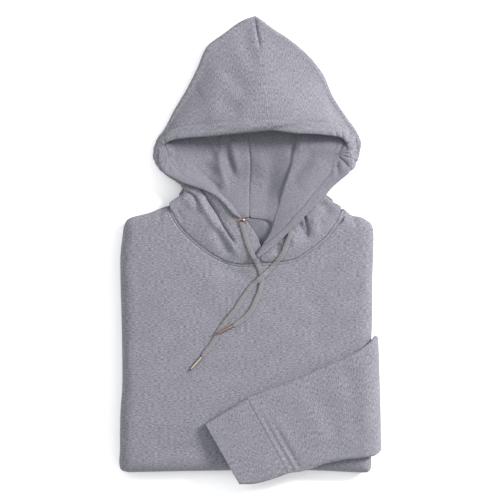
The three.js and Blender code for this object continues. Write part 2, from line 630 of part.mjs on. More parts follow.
function flattenedTube(rows, half, wall) {
  const middles = rows.map(({ upper, lower, z }) => (
    new THREE.Vector3((upper[0] + lower[0]) / 2, (upper[1] + lower[1]) / 2, z)
  ));
  const faces = [0, wall].map((inset) => rows.map(({ upper, lower }, i) => {
    const across = new THREE.Vector3(upper[0] - lower[0], upper[1] - lower[1], 0);
    const halfWidth = across.length() / 2;
    across.normalize();
    const before = middles[Math.max(0, i - 1)];
    const after = middles[Math.min(rows.length - 1, i + 1)];
    const normal = after.clone().sub(before).cross(across).normalize();
    return stadium(halfWidth - inset, half - inset).map(([w, h]) => (
      middles[i].clone().addScaledVector(across, w).addScaledVector(normal, h).toArray()
    ));
  }));
  return rings([...faces[0], ...faces[1].reverse()], { hollow: true });
}

// ---- drawcords --------------------------------------------------------------------------------------

const raycaster = new THREE.Raycaster();

// Highest cloth under a place and its near surroundings.
function clothHeight(supports, x, y, reach) {
  let top = 0;
  for (const [dx, dy] of [[0, 0], [reach, 0], [-reach, 0], [0, reach], [0, -reach]]) {
    raycaster.set(new THREE.Vector3(x + dx, y + dy, 200), new THREE.Vector3(0, 0, -1));
    for (const hit of raycaster.intersectObjects(supports)) top = Math.max(top, hit.point.z);
  }
  return top;
}

// Elliptical section: the first number is its thin direction, the second its wide one.
function cordSection() {
  const section = new THREE.Shape();
  for (let k = 0; k < CORD.sides; k += 1) {
    const angle = (k + 0.5) / CORD.sides * 2 * Math.PI;
    const x = CORD.thick / 2 * Math.cos(angle);
    const y = CORD.width / 2 * Math.sin(angle);
    if (k === 0) section.moveTo(x, y);
    else section.lineTo(x, y);
  }
  section.closePath();
  return section;
}

// Path of the middle of a cord that lies on what is under it.
function cordPath(route, supports) {
  const clearance = CORD.thick / 2 + GAP;
  const flat = curveThrough(route);
  const count = 2 * Math.round(flat.getLength() / CORD.step);
  const points = [];
  for (let k = 0; k <= count; k += 1) {
    const p = flat.getPointAt(k / count);
    p.z = clothHeight(supports, p.x, p.y, CORD.width / 2) + clearance;
    points.push(p);
  }
  for (let pass = 0; pass < 2; pass += 1) {
    for (let k = 1; k + 1 < points.length; k += 1) {
      const mean = (points[k - 1].z + points[k].z + points[k + 1].z) / 3;
      points[k].z = Math.max(points[k].z, mean);
    }
  }
  points[count].z += AGLET.radius - CORD.thick / 2;
  return new THREE.CatmullRomCurve3(points, false, "centripetal");
}

function drawcord(path) {
  const steps = Math.round(path.getLength() / CORD.step);
  return new THREE.ExtrudeGeometry(cordSection(), { steps, extrudePath: path, bevelEnabled: false });
}

// Metal tube that carries on from the end of a cord and rests on what is under its far end.
function aglet(path, degrees, supports) {
  const start = path.getPoint(1);
  const heading = THREE.MathUtils.degToRad(degrees);
  const ahead = (distance) => [start.x + Math.cos(heading) * distance, start.y + Math.sin(heading) * distance];
  const rests = [0.3, 0.6, 1].map((t) => {
    const [x, y] = ahead(AGLET.length * t);
    return (clothHeight(supports, x, y, AGLET.radius) + AGLET.radius + GAP - start.z) / (AGLET.length * t);
  });
  const direction = new THREE.Vector3(Math.cos(heading), Math.sin(heading), Math.max(...rests)).normalize();
  const middle = start.clone().addScaledVector(direction, GAP + AGLET.length / 2);
  const geometry = new THREE.CylinderGeometry(AGLET.radius, AGLET.radius, AGLET.length, AGLET.sides);
  const turn = new THREE.Quaternion().setFromUnitVectors(new THREE.Vector3(0, 1, 0), direction);
  geometry.applyQuaternion(turn);
  geometry.translate(middle.x, middle.y, middle.z);
  return geometry;
}

function eyelet([x, y], supports) {
  const half = EYELET.thick / 2;
  const profile = [
    [EYELET.hole, -half], [EYELET.outer, -half], [EYELET.outer, 0], [EYELET.outer - 1, half],
    [EYELET.hole, half], [EYELET.hole, -half],
  ].map(([r, h]) => new THREE.Vector2(r, h));
  const geometry = new THREE.LatheGeometry(profile, EYELET.sides);
  geometry.rotateX(Math.PI / 2);
  geometry.translate(x, y, clothHeight(supports, x, y, EYELET.outer) + GAP + half);
  return geometry;
}

// ---- assembly ---------------------------------------------------------------------------------------

addPiece("folded_layers", foldedLayers(), COLOURS.fleece);
const front = addPiece("front", frontPanel(), COLOURS.fleece);
const hoodLeft = addPiece("hood_left", hoodPanel(LEFT_CROWN, LEFT_COLLAR, -1, [0.03, 0.51]), COLOURS.fleece);
const hoodRight = addPiece("hood_right", hoodPanel(RIGHT_CROWN, RIGHT_COLLAR, 1, [0.97, 0.55]), COLOURS.fleece);
const liningLeft = addPiece("lining_left", lining(LEFT_CROWN, LEFT_MOUTH, -1), COLOURS.lining);
const liningRight = addPiece("lining_right", lining(RIGHT_CROWN, RIGHT_MOUTH, 1), COLOURS.lining);
addPiece("back_neck", backNeck(), COLOURS.lining);
addPiece("sleeve", flattenedTube(SLEEVE, SLEEVE_HALF, SLEEVE_WALL), COLOURS.fleece);
addPiece("cuff", flattenedTube(CUFF, CUFF_HALF, SLEEVE_WALL), COLOURS.fleece);

const leftEyelet = addPiece("eyelet_left", eyelet(LEFT_EYELET, [hoodLeft, liningLeft]), COLOURS.copper, true);
addPiece("eyelet_right", eyelet(RIGHT_EYELET, [hoodRight]), COLOURS.copper, true);

const leftPath = cordPath(LEFT_CORD, [front, hoodLeft, liningRight, leftEyelet]);
const leftCord = addPiece("drawcord_left", drawcord(leftPath), COLOURS.cord);
const rightPath = cordPath(RIGHT_CORD, [front, hoodRight, leftCord]);
const rightCord = addPiece("drawcord_right", drawcord(rightPath), COLOURS.cord);
addPiece("aglet_left", aglet(leftPath, AGLET_TURN.left, [front, rightCord]), COLOURS.copper, true);
addPiece("aglet_right", aglet(rightPath, AGLET_TURN.right, [front]), COLOURS.gold, true);

export default hoodie;
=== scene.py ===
import math
from collections import namedtuple

import bmesh
import bpy
import numpy as np
from mathutils import Matrix, Vector
from mathutils.bvhtree import BVHTree


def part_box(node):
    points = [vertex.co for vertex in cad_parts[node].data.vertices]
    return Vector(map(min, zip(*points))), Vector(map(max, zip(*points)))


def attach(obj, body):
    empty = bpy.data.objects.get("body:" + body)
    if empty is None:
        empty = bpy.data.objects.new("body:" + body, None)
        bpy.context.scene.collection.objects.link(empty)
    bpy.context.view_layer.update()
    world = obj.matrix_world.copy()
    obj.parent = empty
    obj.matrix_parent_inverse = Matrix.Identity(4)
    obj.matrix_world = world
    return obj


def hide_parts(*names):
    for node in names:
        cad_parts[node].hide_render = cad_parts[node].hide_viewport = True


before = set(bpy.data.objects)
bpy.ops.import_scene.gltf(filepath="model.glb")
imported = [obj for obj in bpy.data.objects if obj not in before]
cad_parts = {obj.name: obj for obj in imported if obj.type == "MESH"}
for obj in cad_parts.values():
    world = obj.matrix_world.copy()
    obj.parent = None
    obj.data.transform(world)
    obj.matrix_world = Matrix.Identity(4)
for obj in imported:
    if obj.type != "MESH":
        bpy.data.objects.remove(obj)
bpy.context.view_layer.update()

# Lengths are in millimetres up to the moment a mesh is made: +X right, +Y towards the hood's peak.
MM = 0.001

CLOTH = 1.8
LAYER = 2.15
PACK_TOP = 33.0
PACK_DOME = 1.6
NECK_LEVEL = 26.0
BACK_NECK_LEVEL = 26.6
FOLD_RADIUS = 4.6
SLEEVE_HALF = 3.8
CUFF_HALF = 4.1
HEM_DEPTH = 15.0
CORD_WIDTH = 6.4
CORD_THICK = 2.2
AGLET_LENGTH = 21.0
AGLET_RADIUS = 1.9


def set_inputs(node, values):
    for key, value in values.items():
        node.inputs[key].default_value = value


# ---- camera, floor and light

FIELD = 0.650          # what the square picture takes in at the height of the cloth
LENS = 200.0
SENSOR = 36.0


def add_camera():
    data = bpy.data.cameras.new("camera")
    data.lens = LENS
    data.sensor_width = SENSOR
    data.clip_end = 20
    camera = bpy.data.objects.new("camera", data)
    camera.location = (-0.0005, -0.0002, FIELD * LENS / SENSOR + 0.034)
    bpy.context.collection.objects.link(camera)
    bpy.context.scene.camera = camera


def add_light(name, place, size, power, colour):
    data = bpy.data.lights.new(name, "AREA")
    data.shape = "DISK"
    data.size = size
    data.energy = power
    data.color = colour
    lamp = bpy.data.objects.new(name, data)
    lamp.location = place
    lamp.rotation_euler = (-Vector(place)).to_track_quat("-Z", "Y").to_euler()
    bpy.context.collection.objects.link(lamp)


def add_floor():
    mesh = bpy.data.meshes.new("floor")
    reach = 6.0
    mesh.from_pydata([(-reach, -reach, 0), (reach, -reach, 0), (reach, reach, 0), (-reach, reach, 0)],
                     [], [(0, 1, 2, 3)])
    floor = bpy.data.objects.new("floor", mesh)
    floor.location = (0, 0, -0.0003)
    bpy.context.collection.objects.link(floor)
    material = bpy.data.materials.new("pale floor")
    material.use_nodes = True
    shader = material.node_tree.nodes["Principled BSDF"]
    set_inputs(shader, {"Base Color": (0.93, 0.93, 0.93, 1), "Roughness": 0.9, "Specular IOR Level": 0.1})
    mesh.materials.append(material)


add_camera()
add_floor()
add_light("key", (3.2, 1.75, 2.25), 1.3, 400, (1.0, 0.985, 0.965))
add_light("fill", (-1.4, 0.8, 2.6), 2.4, 22, (0.97, 0.98, 1.0))
world = bpy.data.worlds.new("studio")
world.use_nodes = True
set_inputs(world.node_tree.nodes["Background"], {"Color": (0.98, 0.985, 1.0, 1), "Strength": 1.1})
bpy.context.scene.world = world
bpy.context.scene.view_settings.view_transform = "Standard"


# ---- materials

FLEECE_TINT = (0.130, 0.129, 0.149)
LINING_TINT = (0.116, 0.115, 0.135)
CORD_TINT = (0.157, 0.150, 0.162)
COPPER_TINT = (0.29, 0.19, 0.155)
GOLD_TINT = (0.37, 0.325, 0.265)
KNIT_RELIEF = 0.0006   # metres


def nodes_of(name):
    material = bpy.data.materials.new(name)
    material.use_nodes = True
    tree = material.node_tree
    return material, tree, tree.nodes["Principled BSDF"]


def add_node(tree, kind, **values):
    node = tree.nodes.new(kind)
    for key, value in values.items():
        if key in node.inputs:
            node.inputs[key].default_value = value
        else:
            setattr(node, key, value)
    return node


def stretched(tree, across, along, detail):
    """Noise on the grain of the cloth, in grains per millimetre across and along."""
    grain = add_node(tree, "ShaderNodeUVMap", uv_map="grain")
    scale = add_node(tree, "ShaderNodeMapping")
    scale.inputs["Scale"].default_value = (across, along, 1)
    tree.links.new(grain.outputs["UV"], scale.inputs["Vector"])
    noise = add_node(tree, "ShaderNodeTexNoise", Scale=1.0, Detail=detail, Roughness=0.6)
    tree.links.new(scale.outputs["Vector"], noise.inputs["Vector"])
    return noise.outputs["Fac"]


def ramp(tree, source, stops):
    node = tree.nodes.new("ShaderNodeValToRGB")
    elements = node.color_ramp.elements
    for k, (place, value) in enumerate(stops):
        element = elements[k] if k < 2 else elements.new(place)
        element.position = place
        element.color = (value, value, value, 1)
    tree.links.new(source, node.inputs["Fac"])
    return node.outputs["Color"]


def multiply(tree, factor, first, second):
    """One colour times another; factor is how much of the second is taken."""
    node = tree.nodes.new("ShaderNodeMix")
    node.data_type = "RGBA"
    node.blend_type = "MULTIPLY"
    node.inputs["Factor"].default_value = factor
    for socket, value in ((node.inputs[6], first), (node.inputs[7], second)):
        if hasattr(value, "is_linked"):
            tree.links.new(value, socket)
        else:
            socket.default_value = (*value, 1)
    return node.outputs[2]


def fleece_material(name, tint, streak):
    """Heather jersey: pale and dark fibres in short streaks, over a fine knit."""
    material, tree, shader = nodes_of(name)
    streaks = ramp(tree, stretched(tree, 0.24, 1.0, 3), [(0.30, 0.50), (0.70, 1.52)])
    flecks = ramp(tree, stretched(tree, 0.75, 1.8, 2), [(0.28, 0.52), (0.72, 1.50)])
    clouds = ramp(tree, stretched(tree, 0.03, 0.05, 2), [(0.3, 0.95), (0.7, 1.05)])
    colour = multiply(tree, streak, tint, streaks)
    colour = multiply(tree, 1.0, colour, flecks)
    colour = multiply(tree, 1.0, colour, clouds)
    tree.links.new(colour, shader.inputs["Base Color"])
    set_inputs(shader, {"Roughness": 0.95, "Specular IOR Level": 0.15, "Sheen Weight": 0.06,
                        "Sheen Roughness": 0.5})
    knit = add_node(tree, "ShaderNodeBump", Strength=0.35, Distance=KNIT_RELIEF)
    tree.links.new(stretched(tree, 0.9, 1.6, 4), knit.inputs["Height"])
    tree.links.new(knit.outputs["Normal"], shader.inputs["Normal"])
    return material


def cord_material():
    """Flat woven tape: fine diagonal bands along its length."""
    material, tree, shader = nodes_of("woven cord")
    grain = add_node(tree, "ShaderNodeUVMap", uv_map="grain")
    wave = add_node(tree, "ShaderNodeTexWave", Scale=0.42, Distortion=0.6, wave_type="BANDS",
                    bands_direction="DIAGONAL")
    tree.links.new(grain.outputs["UV"], wave.inputs["Vector"])
    weave = ramp(tree, wave.outputs["Fac"], [(0.1, 0.72), (0.9, 1.2)])
    colour = multiply(tree, 1.0, CORD_TINT, weave)
    fibres = ramp(tree, stretched(tree, 0.6, 0.5, 2), [(0.3, 0.66), (0.7, 1.34)])
    colour = multiply(tree, 1.0, colour, fibres)
    tree.links.new(colour, shader.inputs["Base Color"])
    set_inputs(shader, {"Roughness": 0.8, "Sheen Weight": 0.05})
    bump = add_node(tree, "ShaderNodeBump", Strength=0.8, Distance=KNIT_RELIEF)
    tree.links.new(wave.outputs["Fac"], bump.inputs["Height"])
    tree.links.new(bump.outputs["Normal"], shader.inputs["Normal"])
    return material


def metal_material(name, colour, roughness):
    material, tree, shader = nodes_of(name)
    set_inputs(shader, {"Metallic": 1.0, "Roughness": roughness})
    worn = add_node(tree, "ShaderNodeTexNoise", Scale=900.0, Detail=3.0)
    wear = ramp(tree, worn.outputs["Fac"], [(0.35, 0.9), (0.65, 1.05)])
    tree.links.new(multiply(tree, 1.0, colour, wear), shader.inputs["Base Color"])
    return material


FLEECE = fleece_material("heather fleece", FLEECE_TINT, 1.0)
LINING = fleece_material("heather lining", LINING_TINT, 0.6)
CORD = cord_material()
COPPER = metal_material("copper", COPPER_TINT, 0.2)
GOLD = metal_material("pale gold", GOLD_TINT, 0.22)


# ---- curves and grids

def smooth(t):
    """Eases from 0 to 1 as t goes from 0 to 1."""
    c = np.clip(t, 0, 1)
    return c * c * (3 - 2 * c)


def bell(distance, width):
    return np.exp(-(distance / width) ** 2)


def unit(vectors):
    return vectors / np.maximum(np.linalg.norm(vectors, axis=-1, keepdims=True), 1e-9)


def spline(knots, rows, samples):
    """Cubic through rows of points at uneven knots, at the sample places."""
    rows = np.asarray(rows, float)
    knots = np.asarray(knots, float)
    steps = np.diff(knots)
    slopes = np.diff(rows, axis=0) / steps.reshape((-1,) + (1,) * (rows.ndim - 1))
    tangents = np.empty_like(rows)
    tangents[0], tangents[-1] = slopes[0], slopes[-1]
    weight = (steps[1:] / (steps[1:] + steps[:-1])).reshape((-1,) + (1,) * (rows.ndim - 1))
    tangents[1:-1] = slopes[:-1] * weight + slopes[1:] * (1 - weight)
    place = np.clip(np.searchsorted(knots, samples, side="right") - 1, 0, len(knots) - 2)
    h = steps[place]
    t = ((samples - knots[place]) / h).reshape((-1,) + (1,) * (rows.ndim - 1))
    h = h.reshape(t.shape)
    return ((2 * t**3 - 3 * t**2 + 1) * rows[place] + (t**3 - 2 * t**2 + t) * h * tangents[place]
            + (3 * t**2 - 2 * t**3) * rows[place + 1] + (t**3 - t**2) * h * tangents[place + 1])


def chord_knots(points, power=1.0):
    """Distance from the first point to each, along the points."""
    steps = np.linalg.norm(np.diff(np.asarray(points, float), axis=0), axis=1) ** power
    return np.concatenate([[0], np.cumsum(np.maximum(steps, 1e-6))])


def through(points, count):
    """A smooth curve through the points, sampled at even distances."""
    points = np.asarray(points, float)
    knots = chord_knots(points, 0.5)
    dense = spline(knots, points, np.linspace(0, knots[-1], 60 * len(points)))
    length = chord_knots(dense)
    even = np.linspace(0, length[-1], count)
    return np.stack([np.interp(even, length, dense[:, k]) for k in range(points.shape[1])], axis=1)


def grid_normals(grid, closed=False):
    """Unit normals of a grid; closed joins its last row to its first."""
    if closed:
        along = np.roll(grid, -1, axis=0) - np.roll(grid, 1, axis=0)
    else:
        along = np.gradient(grid, axis=0)
    across = np.gradient(grid, axis=1)
    normal = np.cross(along, across)
    thin = np.linalg.norm(normal, axis=2) < 1e-7
    normal = unit(normal)
    if thin.any():
        for i, j in zip(*np.where(thin)):
            normal[i, j] = unit(normal[max(0, i - 2):i + 3, max(0, j - 2):j + 3].reshape(-1, 3).sum(axis=0))
    return normal


def raised(grid, normal, height):
    return grid + normal * height[..., None]


def distance_to_path(x, y, path):
    """Distance to a polyline, how far along it the nearest point lies (0 to 1), and on which side."""
    path = np.asarray(path, float)
    lengths = chord_knots(path)
    best = np.full(x.shape, 1e9)
    along = np.zeros(x.shape)
    side = np.zeros(x.shape)
    for k in range(len(path) - 1):
        ax, ay = path[k]
        dx, dy = path[k + 1] - path[k]
        size = dx * dx + dy * dy
        t = np.clip(((x - ax) * dx + (y - ay) * dy) / size, 0, 1)
        gap = np.hypot(x - ax - t * dx, y - ay - t * dy)
        nearer = gap < best
        best = np.where(nearer, gap, best)
        along = np.where(nearer, (lengths[k] + t * math.sqrt(size)) / lengths[-1], along)
        turn = dx * (y - ay) - dy * (x - ax)
        side = np.where(nearer, np.sign(turn), side)
    return best, along, side


# A trough (depth below 0) or ridge: fade is the share of its length that eases in and out, and lean
# makes one flank steeper.
Crease = namedtuple("Crease", "path width depth fade lean", defaults=((0.2, 0.2), 0))


def creases(x, y, table):
    """Height that the listed creases add to the cloth."""
    total = np.zeros(x.shape)
    for row in table:
        gap, along, side = distance_to_path(x, y, through(row.path, 24))
        start, end = row.fade
        ends = smooth(along / start) * smooth((1 - along) / end)
        total += row.depth * ends * bell(gap, row.width * (1 + row.lean * side))
    return total


def ripple(x, y, size, phase=0.0):
    """Faint unevenness of cloth that was smoothed by hand."""
    return size * (np.sin(x / 31 + y / 47 + phase) * np.cos(y / 38 - x / 83 + 1.3 * phase)
                   + 0.5 * np.sin(x / 17 - y / 23 + 2.1 * phase) * np.cos(y / 19 + 0.7 + phase))


def pack_top(x, y):
    """Height of the front, a little domed."""
    across = np.maximum(0, 1 - (x / 165) ** 2)
    along = np.maximum(0, 1 - ((y + 125) / 170) ** 2)
    return PACK_TOP + PACK_DOME * (across * along - 0.5)


def back_layer_height(y):
    """Height of the hood's back layer: on the floor at the crown, on the folded body at the neck."""
    return CLOTH / 2 + (NECK_LEVEL - CLOTH / 2) * smooth((94 - y) / 50)


# ---- meshes

RIM_ROUND = 0.9        # how far a rim stands out, in half thicknesses


def sheet_faces(rows, columns, closed):
    """Faces of both sides of a grid, and the loops of vertices round its open edges."""
    near = np.arange(rows * columns).reshape(rows, columns)
    shift = rows * columns
    wrap = np.arange(rows + 1) % rows if closed else np.arange(rows)
    a, b = near[wrap][:-1, :-1], near[wrap][1:, :-1]
    c, d = near[wrap][1:, 1:], near[wrap][:-1, 1:]
    faces = [np.stack([a, b, c, d], axis=-1).reshape(-1, 4),
             np.stack([a, d, c, b], axis=-1).reshape(-1, 4) + shift]
    if closed:
        loops = [near[:, 0][::-1], near[:, -1]]
    else:
        loops = [np.concatenate([near[0, :-1], near[:-1, -1], near[-1, :0:-1], near[:0:-1, 0]])]
    return faces, loops


def ring_faces(rows, columns, flip=False):
    """Quads between rings of vertices that close on themselves; flip turns their fronts round."""
    ring = np.arange(rows * columns).reshape(rows, columns)
    ahead = np.roll(ring, -1, axis=1)
    corners = [ring[:-1], ring[1:], ahead[1:], ahead[:-1]]
    if flip:
        corners = [ring[:-1], ahead[:-1], ahead[1:], ring[1:]]
    return np.stack(corners, axis=-1).reshape(-1, 4)


def sheet_mesh(grid, thickness, grain, closed=False):
    """Both faces of a sheet round the grid, with a rounded rim. Returns vertices, faces, grain."""
    rows, columns = grid.shape[:2]
    normal = grid_normals(grid, closed)
    half = np.broadcast_to(np.asarray(thickness, float) / 2, (rows, columns))[..., None]
    vertices = [(grid + normal * half).reshape(-1, 3), (grid - normal * half).reshape(-1, 3)]
    flat = grain.reshape(-1, 2)
    grains = [flat, flat]
    faces, loops = sheet_faces(rows, columns, closed)
    middle = grid.reshape(-1, 3)
    sizes = half.reshape(-1)
    normals = normal.reshape(-1, 3)
    shift = rows * columns
    base = 2 * shift
    centre = grid.mean(axis=(0, 1))
    for loop in loops:
        outward = unit(np.cross(middle[np.roll(loop, -1)] - middle[np.roll(loop, 1)], normals[loop]))
        place = middle[loop]
        now = np.linalg.norm(place - centre, axis=1).sum()
        moved = np.linalg.norm(place + outward * 2 - centre, axis=1).sum()
        flip = -1 if moved < now else 1
        vertices.append(place + outward * (sizes[loop][:, None] * RIM_ROUND) * flip)
        grains.append(flat[loop])
        count = len(loop)
        rim = base + np.arange(count)
        nxt = np.roll(np.arange(count), -1)
        faces.append(np.stack([loop, loop[nxt], rim[nxt], rim], axis=-1))
        faces.append(np.stack([rim, rim[nxt], loop[nxt] + shift, loop + shift], axis=-1))
        base += count
    return np.concatenate(vertices), np.concatenate(faces), np.concatenate(grains)


def make_object(name, parts, material):
    """One object from one or more (vertices, faces, grain) parts, in millimetres."""
    vertices, faces, grains = [], [], []
    shift = 0
    for part_vertices, part_faces, part_grain in parts:
        vertices.append(np.asarray(part_vertices, float))
        faces.extend([tuple(int(v) + shift for v in face) for face in part_faces])
        grains.append(np.asarray(part_grain, float))
        shift += len(part_vertices)
    vertices = np.concatenate(vertices) * MM
    vertices[:, 2] = np.maximum(vertices[:, 2], 0)
    grains = np.concatenate(grains)
    mesh = bpy.data.meshes.new(name)
    mesh.from_pydata(vertices.tolist(), [], faces)
    mesh.validate()
    layer = mesh.uv_layers.new(name="grain")
    order = np.empty(len(mesh.loops), dtype=np.int32)
    mesh.loops.foreach_get("vertex_index", order)
    layer.data.foreach_set("uv", grains[order].astype(np.float32).ravel())
    mesh.polygons.foreach_set("use_smooth", [True] * len(mesh.polygons))
    mesh.materials.append(material)
    piece = bpy.data.objects.new(name, mesh)
    bpy.context.collection.objects.link(piece)
    fix_normals(mesh)
    mesh.update()
    return piece


def fix_normals(mesh):
    work = bmesh.new()
    work.from_mesh(mesh)
    bmesh.ops.recalc_face_normals(work, faces=work.faces)
    work.to_mesh(mesh)
    work.free()


def finish_piece(piece, node):
    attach(piece, "root")
    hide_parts(node)


def tree_of(*pieces):
    """A ray target that joins the meshes of several pieces."""
    points, faces = [], []
    for piece in pieces:
        shift = len(points)
        points.extend(v.co.copy() for v in piece.data.vertices)
        faces.extend([v + shift for v in face.vertices] for face in piece.data.polygons)
    return BVHTree.FromPolygons(points, faces)


def height_on(tree, x, y):
    """Height of the topmost face at a place, or 0 where there is none."""
    hit = tree.ray_cast(Vector((x * MM, y * MM, 0.3)), Vector((0, 0, -1)))
    return hit[0].z / MM if hit[0] else 0.0


# ---- folded body

# outlines as (x, y) points: the neckline runs left to right, the rest anticlockwise
NECKLINE = [
    (-105.7, 57.1), (-100.6, 46.2), (-90.7, 30.2), (-78.8, 17.3), (-60.8, 2.3), (-46, -7.7),
    (-31.1, -14.6), (-15.1, -18.6), (1.8, -18.2), (25.2, -16.8), (41.2, -15.6), (58.1, -11.6),
    (68.1, -5.6), (84, 5.3), (95.9, 15.2), (105.8, 27.2), (114.8, 41.1), (119.9, 54.1),
]
BACK_NECK = [(119.9, 54.1), (90, 48.5), (45, 44.5), (0, 44), (-40, 44.5), (-80, 49.5), (-105.7, 57.1)]
LEFT_SHOULDER = [(-105.7, 57.1), (-113.6, 54.6), (-128.6, 48.6), (-141.8, 45.1), (-153.5, 42.3),
                 (-160.6, 38.6), (-164.6, 30)]
LEFT_SIDE = [(-164.6, 30), (-168.7, -6.6), (-168.9, -32.6), (-167.7, -74.4), (-166.5, -132.5),
             (-166.5, -178.9), (-168.9, -213.7), (-169.5, -262)]
LOW_LEFT_CORNER = [(-169.5, -262), (-170.3, -278.3), (-168.4, -286.6), (-160, -289.6)]
BOTTOM = [(-160, -289.6), (-78.5, -288), (-27.4, -287.2), (0, -286.8), (75.4, -287), (146, -290.2)]
LOW_RIGHT_CORNER = [(146, -290.2), (153.5, -289.8), (157, -284), (157, -268)]
RIGHT_SIDE = [(157, -268), (156.2, -200), (156.8, -128), (158.2, -92.3), (158.4, -50.1), (159.6, -7.8),
              (160.3, 12)]
RIGHT_SHOULDER = [(160.3, 12), (160, 22), (157.6, 33), (151.8, 38), (143.4, 42.3), (134.5, 43.6),
                  (130.8, 45.2), (120.9, 53.6), (119.9, 54.1)]
FOLDED_EDGES = [
    (LEFT_SHOULDER, "side"), (LEFT_SIDE, "side"), (LOW_LEFT_CORNER, "under"), (BOTTOM, "under"),
    (LOW_RIGHT_CORNER, "under"), (RIGHT_SIDE, "side"), (RIGHT_SHOULDER, "side"),
]
BODY_CENTRE = np.array([10.0, -240.0])
# profile of a folded edge: distance in from the edge, distance down
FRONT_EDGE = [(26, 0), (13, 0.6), (6.5, 3), (2, 7.5), (0.2, 12.5), (0, 17), (0.3, 23), (2.6, 28), (9, 31.8)]
SIDE_REACH = 0.7       # share of the profile that the front covers at its sides
SEAM_INSET = 26.0
OUTLINE_STEP = 3.2


def body_outline(first):
    """Outline points with inward normals and the share of cloth that folds fully under."""
    points, under, seam = [], [], []
    for path, kind in [first, *FOLDED_EDGES]:
        length = chord_knots(path)[-1]
        count = max(4, int(length / OUTLINE_STEP))
        points.append(through(path, count + 1)[:-1])
        under += [1.0 if kind == "under" else 0.0] * count
        seam += [1.0 if kind == "seam" else 0.0] * count
    points = np.concatenate(points)
    tangent = np.roll(points, -2, axis=0) - np.roll(points, 2, axis=0)
    inward = unit(np.stack([-tangent[:, 1], tangent[:, 0]], axis=1))
    under = np.array(under)
    for _ in range(6):
        under = (np.roll(under, 1) + under + np.roll(under, -1)) / 3
    for _ in range(2):
        inward = unit(np.roll(inward, 1, axis=0) + 2 * inward + np.roll(inward, -1, axis=0))
    return points, inward, under, np.array(seam)


FRONT_CREASES = [
    Crease([(-113.5, 55), (-117.5, 46), (-118.5, 32)], 2.6, -2.6, (0.01, 0.6)),
    Crease([(131.5, 46), (137, 35), (141, 20)], 2.8, -3.4, (0.01, 0.6)),
    Crease([(-46, -12), (-32, -24), (-10, -32), (6, -36)], 9, -2.4, (0.25, 0.35)),
    Crease([(-80, -8), (-60, -34), (-30, -56)], 14, 1.0),
    Crease([(150, 20), (140, -40), (143, -90)], 9, -0.8),
    Crease([(-150, 10), (-143, -70), (-149, -170)], 10, -0.6),
    Crease([(-120, -60), (-60, -76), (-10, -120)], 13, -0.7),
    Crease([(60, -40), (90, -85), (84, -140)], 12, -0.8),
    Crease([(-130, -220), (-80, -214), (-20, -222)], 14, -0.8),
    Crease([(-140, -262), (-60, -257), (0, -263)], 8, -0.7),
]


def step_in(points, inward, inset):
    """Moves outline points in: square to the edge at first, then towards the body's centre."""
    centre = unit(BODY_CENTRE - points)
    inset = np.broadcast_to(np.asarray(inset, float), (len(points),))
    square = 3 * (1 - np.exp(-np.maximum(inset, 0) / 3)) * (1 - smooth(inset / SEAM_INSET))
    slant = np.maximum(0.65, (centre * inward).sum(axis=1))
    return points + inward * square[:, None] + centre * ((inset - square) / slant)[:, None]


STRIP_INSET = 5.0      # where the turned edge ends and the flat rings start
STRIP_COUNT = 26
RING_COUNT = 74
RING_SMOOTHING = 22
SAG_START = -222       # the front thins out from here to the hem
SAG_REACH = 64
SAG = 3.5
STITCH_GAP = 3.3       # second row of stitches, outside the neckline
STITCH_DEPTH = 0.95
STITCH_WIDTH = 1.1


def hem_sag(y):
    return SAG * smooth((SAG_START - y) / SAG_REACH)


def edge_drop(x, y):
    """How far the rounded edge has fallen, from the distance to the folded edges."""
    edges = np.concatenate([through(path, 30) for path, _ in FOLDED_EDGES])
    gap, _, _ = distance_to_path(x, y, edges)
    profile = through(FRONT_EDGE[:5], 120)[::-1]
    return np.interp(gap, profile[:, 0], profile[:, 1])


def swelled(x, y, down):
    """Height on the body, from how far the edge's profile has fallen there."""
    return PACK_TOP - down + (pack_top(x, y) - PACK_TOP - hem_sag(y)) * (1 - down / PACK_TOP)


def top_height(x, y):
    return swelled(x, y, edge_drop(x, y))


